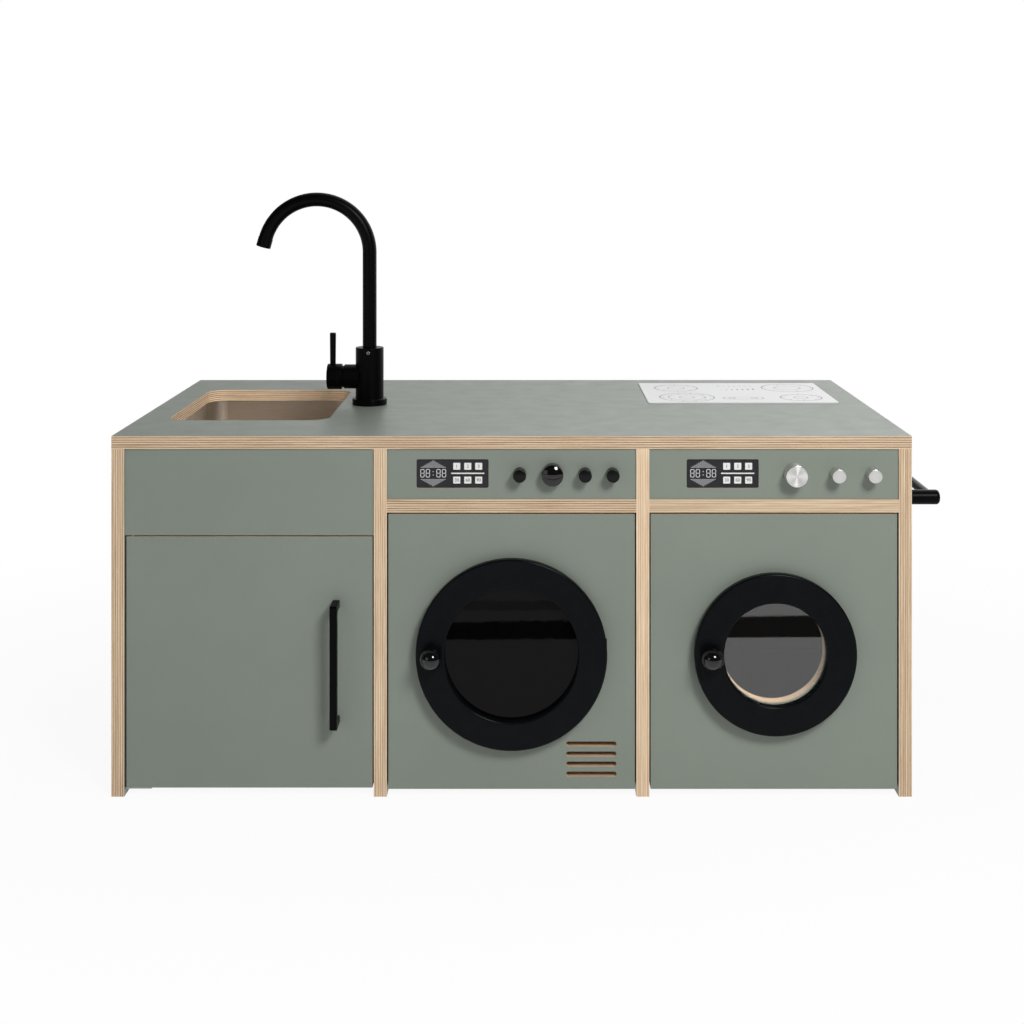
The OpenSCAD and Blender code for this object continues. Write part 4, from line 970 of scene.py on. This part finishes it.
# %% [markdown]
# ## Floor, sky and lamps
# The studio is a pale floor under an even grey sky, with one large lamp at the upper right, which draws the soft
# shadows to the lower left, and a weak one at the left. Light Path turns the floor white for the camera, mirrors
# and glass, and the sky for the camera and glass, so the object is lit at a plain level. In mirrors the sky in
# front of the unit is dark and the one behind it bright. Two cards lie on the floor in front, which only mirrors
# and glass see: the black one makes the dark band across both windows, and the grey one a paler strip in the
# dryer's.

# %% Floor and cards
CARD_Z = 0.002


def flat_stage(name, corners, material, z=0):
    """A four-cornered sheet that belongs to the studio and not to the object."""
    mesh = bpy.data.meshes.new(name)
    mesh.from_pydata([(x, y, z) for x, y in corners], [], [(0, 1, 2, 3)])
    mesh.materials.append(material)
    sheet = put(name, mesh)
    return sheet


def empty_tree(owner):
    """The node tree of a material or a world, with nothing in it."""
    owner.use_nodes = True
    owner.node_tree.nodes.clear()
    return owner.node_tree


def white_glow(tree, strength=1.0):
    """The output of an Emission shader in white."""
    return add(tree, "ShaderNodeEmission", {"Color": (1, 1, 1, 1), "Strength": strength}).outputs[0]


floor_material = bpy.data.materials.new("studio_floor")
tree = empty_tree(floor_material)
matt = add(tree, "ShaderNodeBsdfDiffuse", {"Color": (0.9, 0.9, 0.9, 1)})
seen = add(tree, "ShaderNodeLightPath").outputs
away = add(tree, "ShaderNodeVectorMath", {0: place_in(tree, (0.55, 0.8, 1))}, operation="LENGTH").outputs["Value"]
bright = ramp(tree, calc(tree, "MULTIPLY", away, 0.5), (0.18, 0.93), (0.5, 1.0))
looked_at = calc(tree, "ADD", seen["Is Camera Ray"], seen["Is Transmission Ray"])
looked_at = calc(tree, "ADD", looked_at, seen["Is Glossy Ray"], clamp=True)
mixed = add(tree, "ShaderNodeMixShader", {0: calc(tree, "MULTIPLY", looked_at, bright), 1: matt.outputs[0],
                                          2: white_glow(tree)})
add(tree, "ShaderNodeOutputMaterial", {"Surface": mixed.outputs[0]})
flat_stage("studio_floor", [(-9, -9), (9, -9), (9, 9), (-9, 9)], floor_material)

black_material, _, _ = start_material("black_card", rgb(4, 4, 4), 0.9)
grey_material = bpy.data.materials.new("grey_card")
tree = empty_tree(grey_material)
add(tree, "ShaderNodeOutputMaterial", {"Surface": white_glow(tree, 0.6)})
cards = [flat_stage("black_card", [(-0.9, -0.925), (1.3, -0.965), (1.3, -1.13), (-0.9, -1.0)], black_material, CARD_Z),
         flat_stage("grey_card", [(-0.5, -1.12), (0.15, -1.12), (0.15, -1.185), (-0.5, -1.185)], grey_material, CARD_Z)]
for sheet in cards:
    for ray in ("camera", "diffuse", "shadow"):
        setattr(sheet, "visible_" + ray, False)
print("floor and cards laid")

# %% Sky
SKY_LEVEL = 0.28
world = bpy.data.worlds.new("studio_sky")
bpy.context.scene.world = world
tree = empty_tree(world)
seen = add(tree, "ShaderNodeLightPath").outputs
direction = object_parts(tree, "Generated")
towards_right, towards_back = [calc(tree, "MULTIPLY_ADD", direction[axis], 0.5, 0.5) for axis in (0, 1)]
behind = ramp(tree, towards_back, (0.5, 0.03), (0.62, 1.8))
rightwards = ramp(tree, towards_right, (0.28, 0.12), (0.6, 1.0))
room = mix(tree, rightwards, (0.03, 0.03, 0.03, 1), behind)
mirrored = mix(tree, seen["Is Glossy Ray"], (SKY_LEVEL, SKY_LEVEL, SKY_LEVEL, 1), room)
clear_view = calc(tree, "MAXIMUM", seen["Is Camera Ray"], seen["Is Transmission Ray"])
whole = mix(tree, clear_view, mirrored, (1, 1, 1, 1))
sky = add(tree, "ShaderNodeBackground", {"Color": whole, "Strength": 1.0})
add(tree, "ShaderNodeOutputWorld", {"Surface": sky.outputs[0]})
print("sky level", SKY_LEVEL)


# %% Lamps
def soft_lamp(name, place, aim, width, height, watts):
    """A rectangular lamp that faces a point."""
    lamp = bpy.data.lights.new(name, "AREA")
    lamp.shape, lamp.size, lamp.size_y, lamp.energy = "RECTANGLE", width, height, watts
    holder = put(name, lamp)
    holder.location = place
    holder.rotation_euler = (Vector(aim) - Vector(place)).to_track_quat("-Z", "Y").to_euler()


soft_lamp("key_softbox", (1.1, -2.3, 2.15), (0, -0.25, 0.35), 0.8, 0.8, 61)
soft_lamp("left_fill", (-1.7, -1.9, 0.9), (-0.3, -0.25, 0.25), 1.2, 1.0, 3.5)
print("lamps 2")
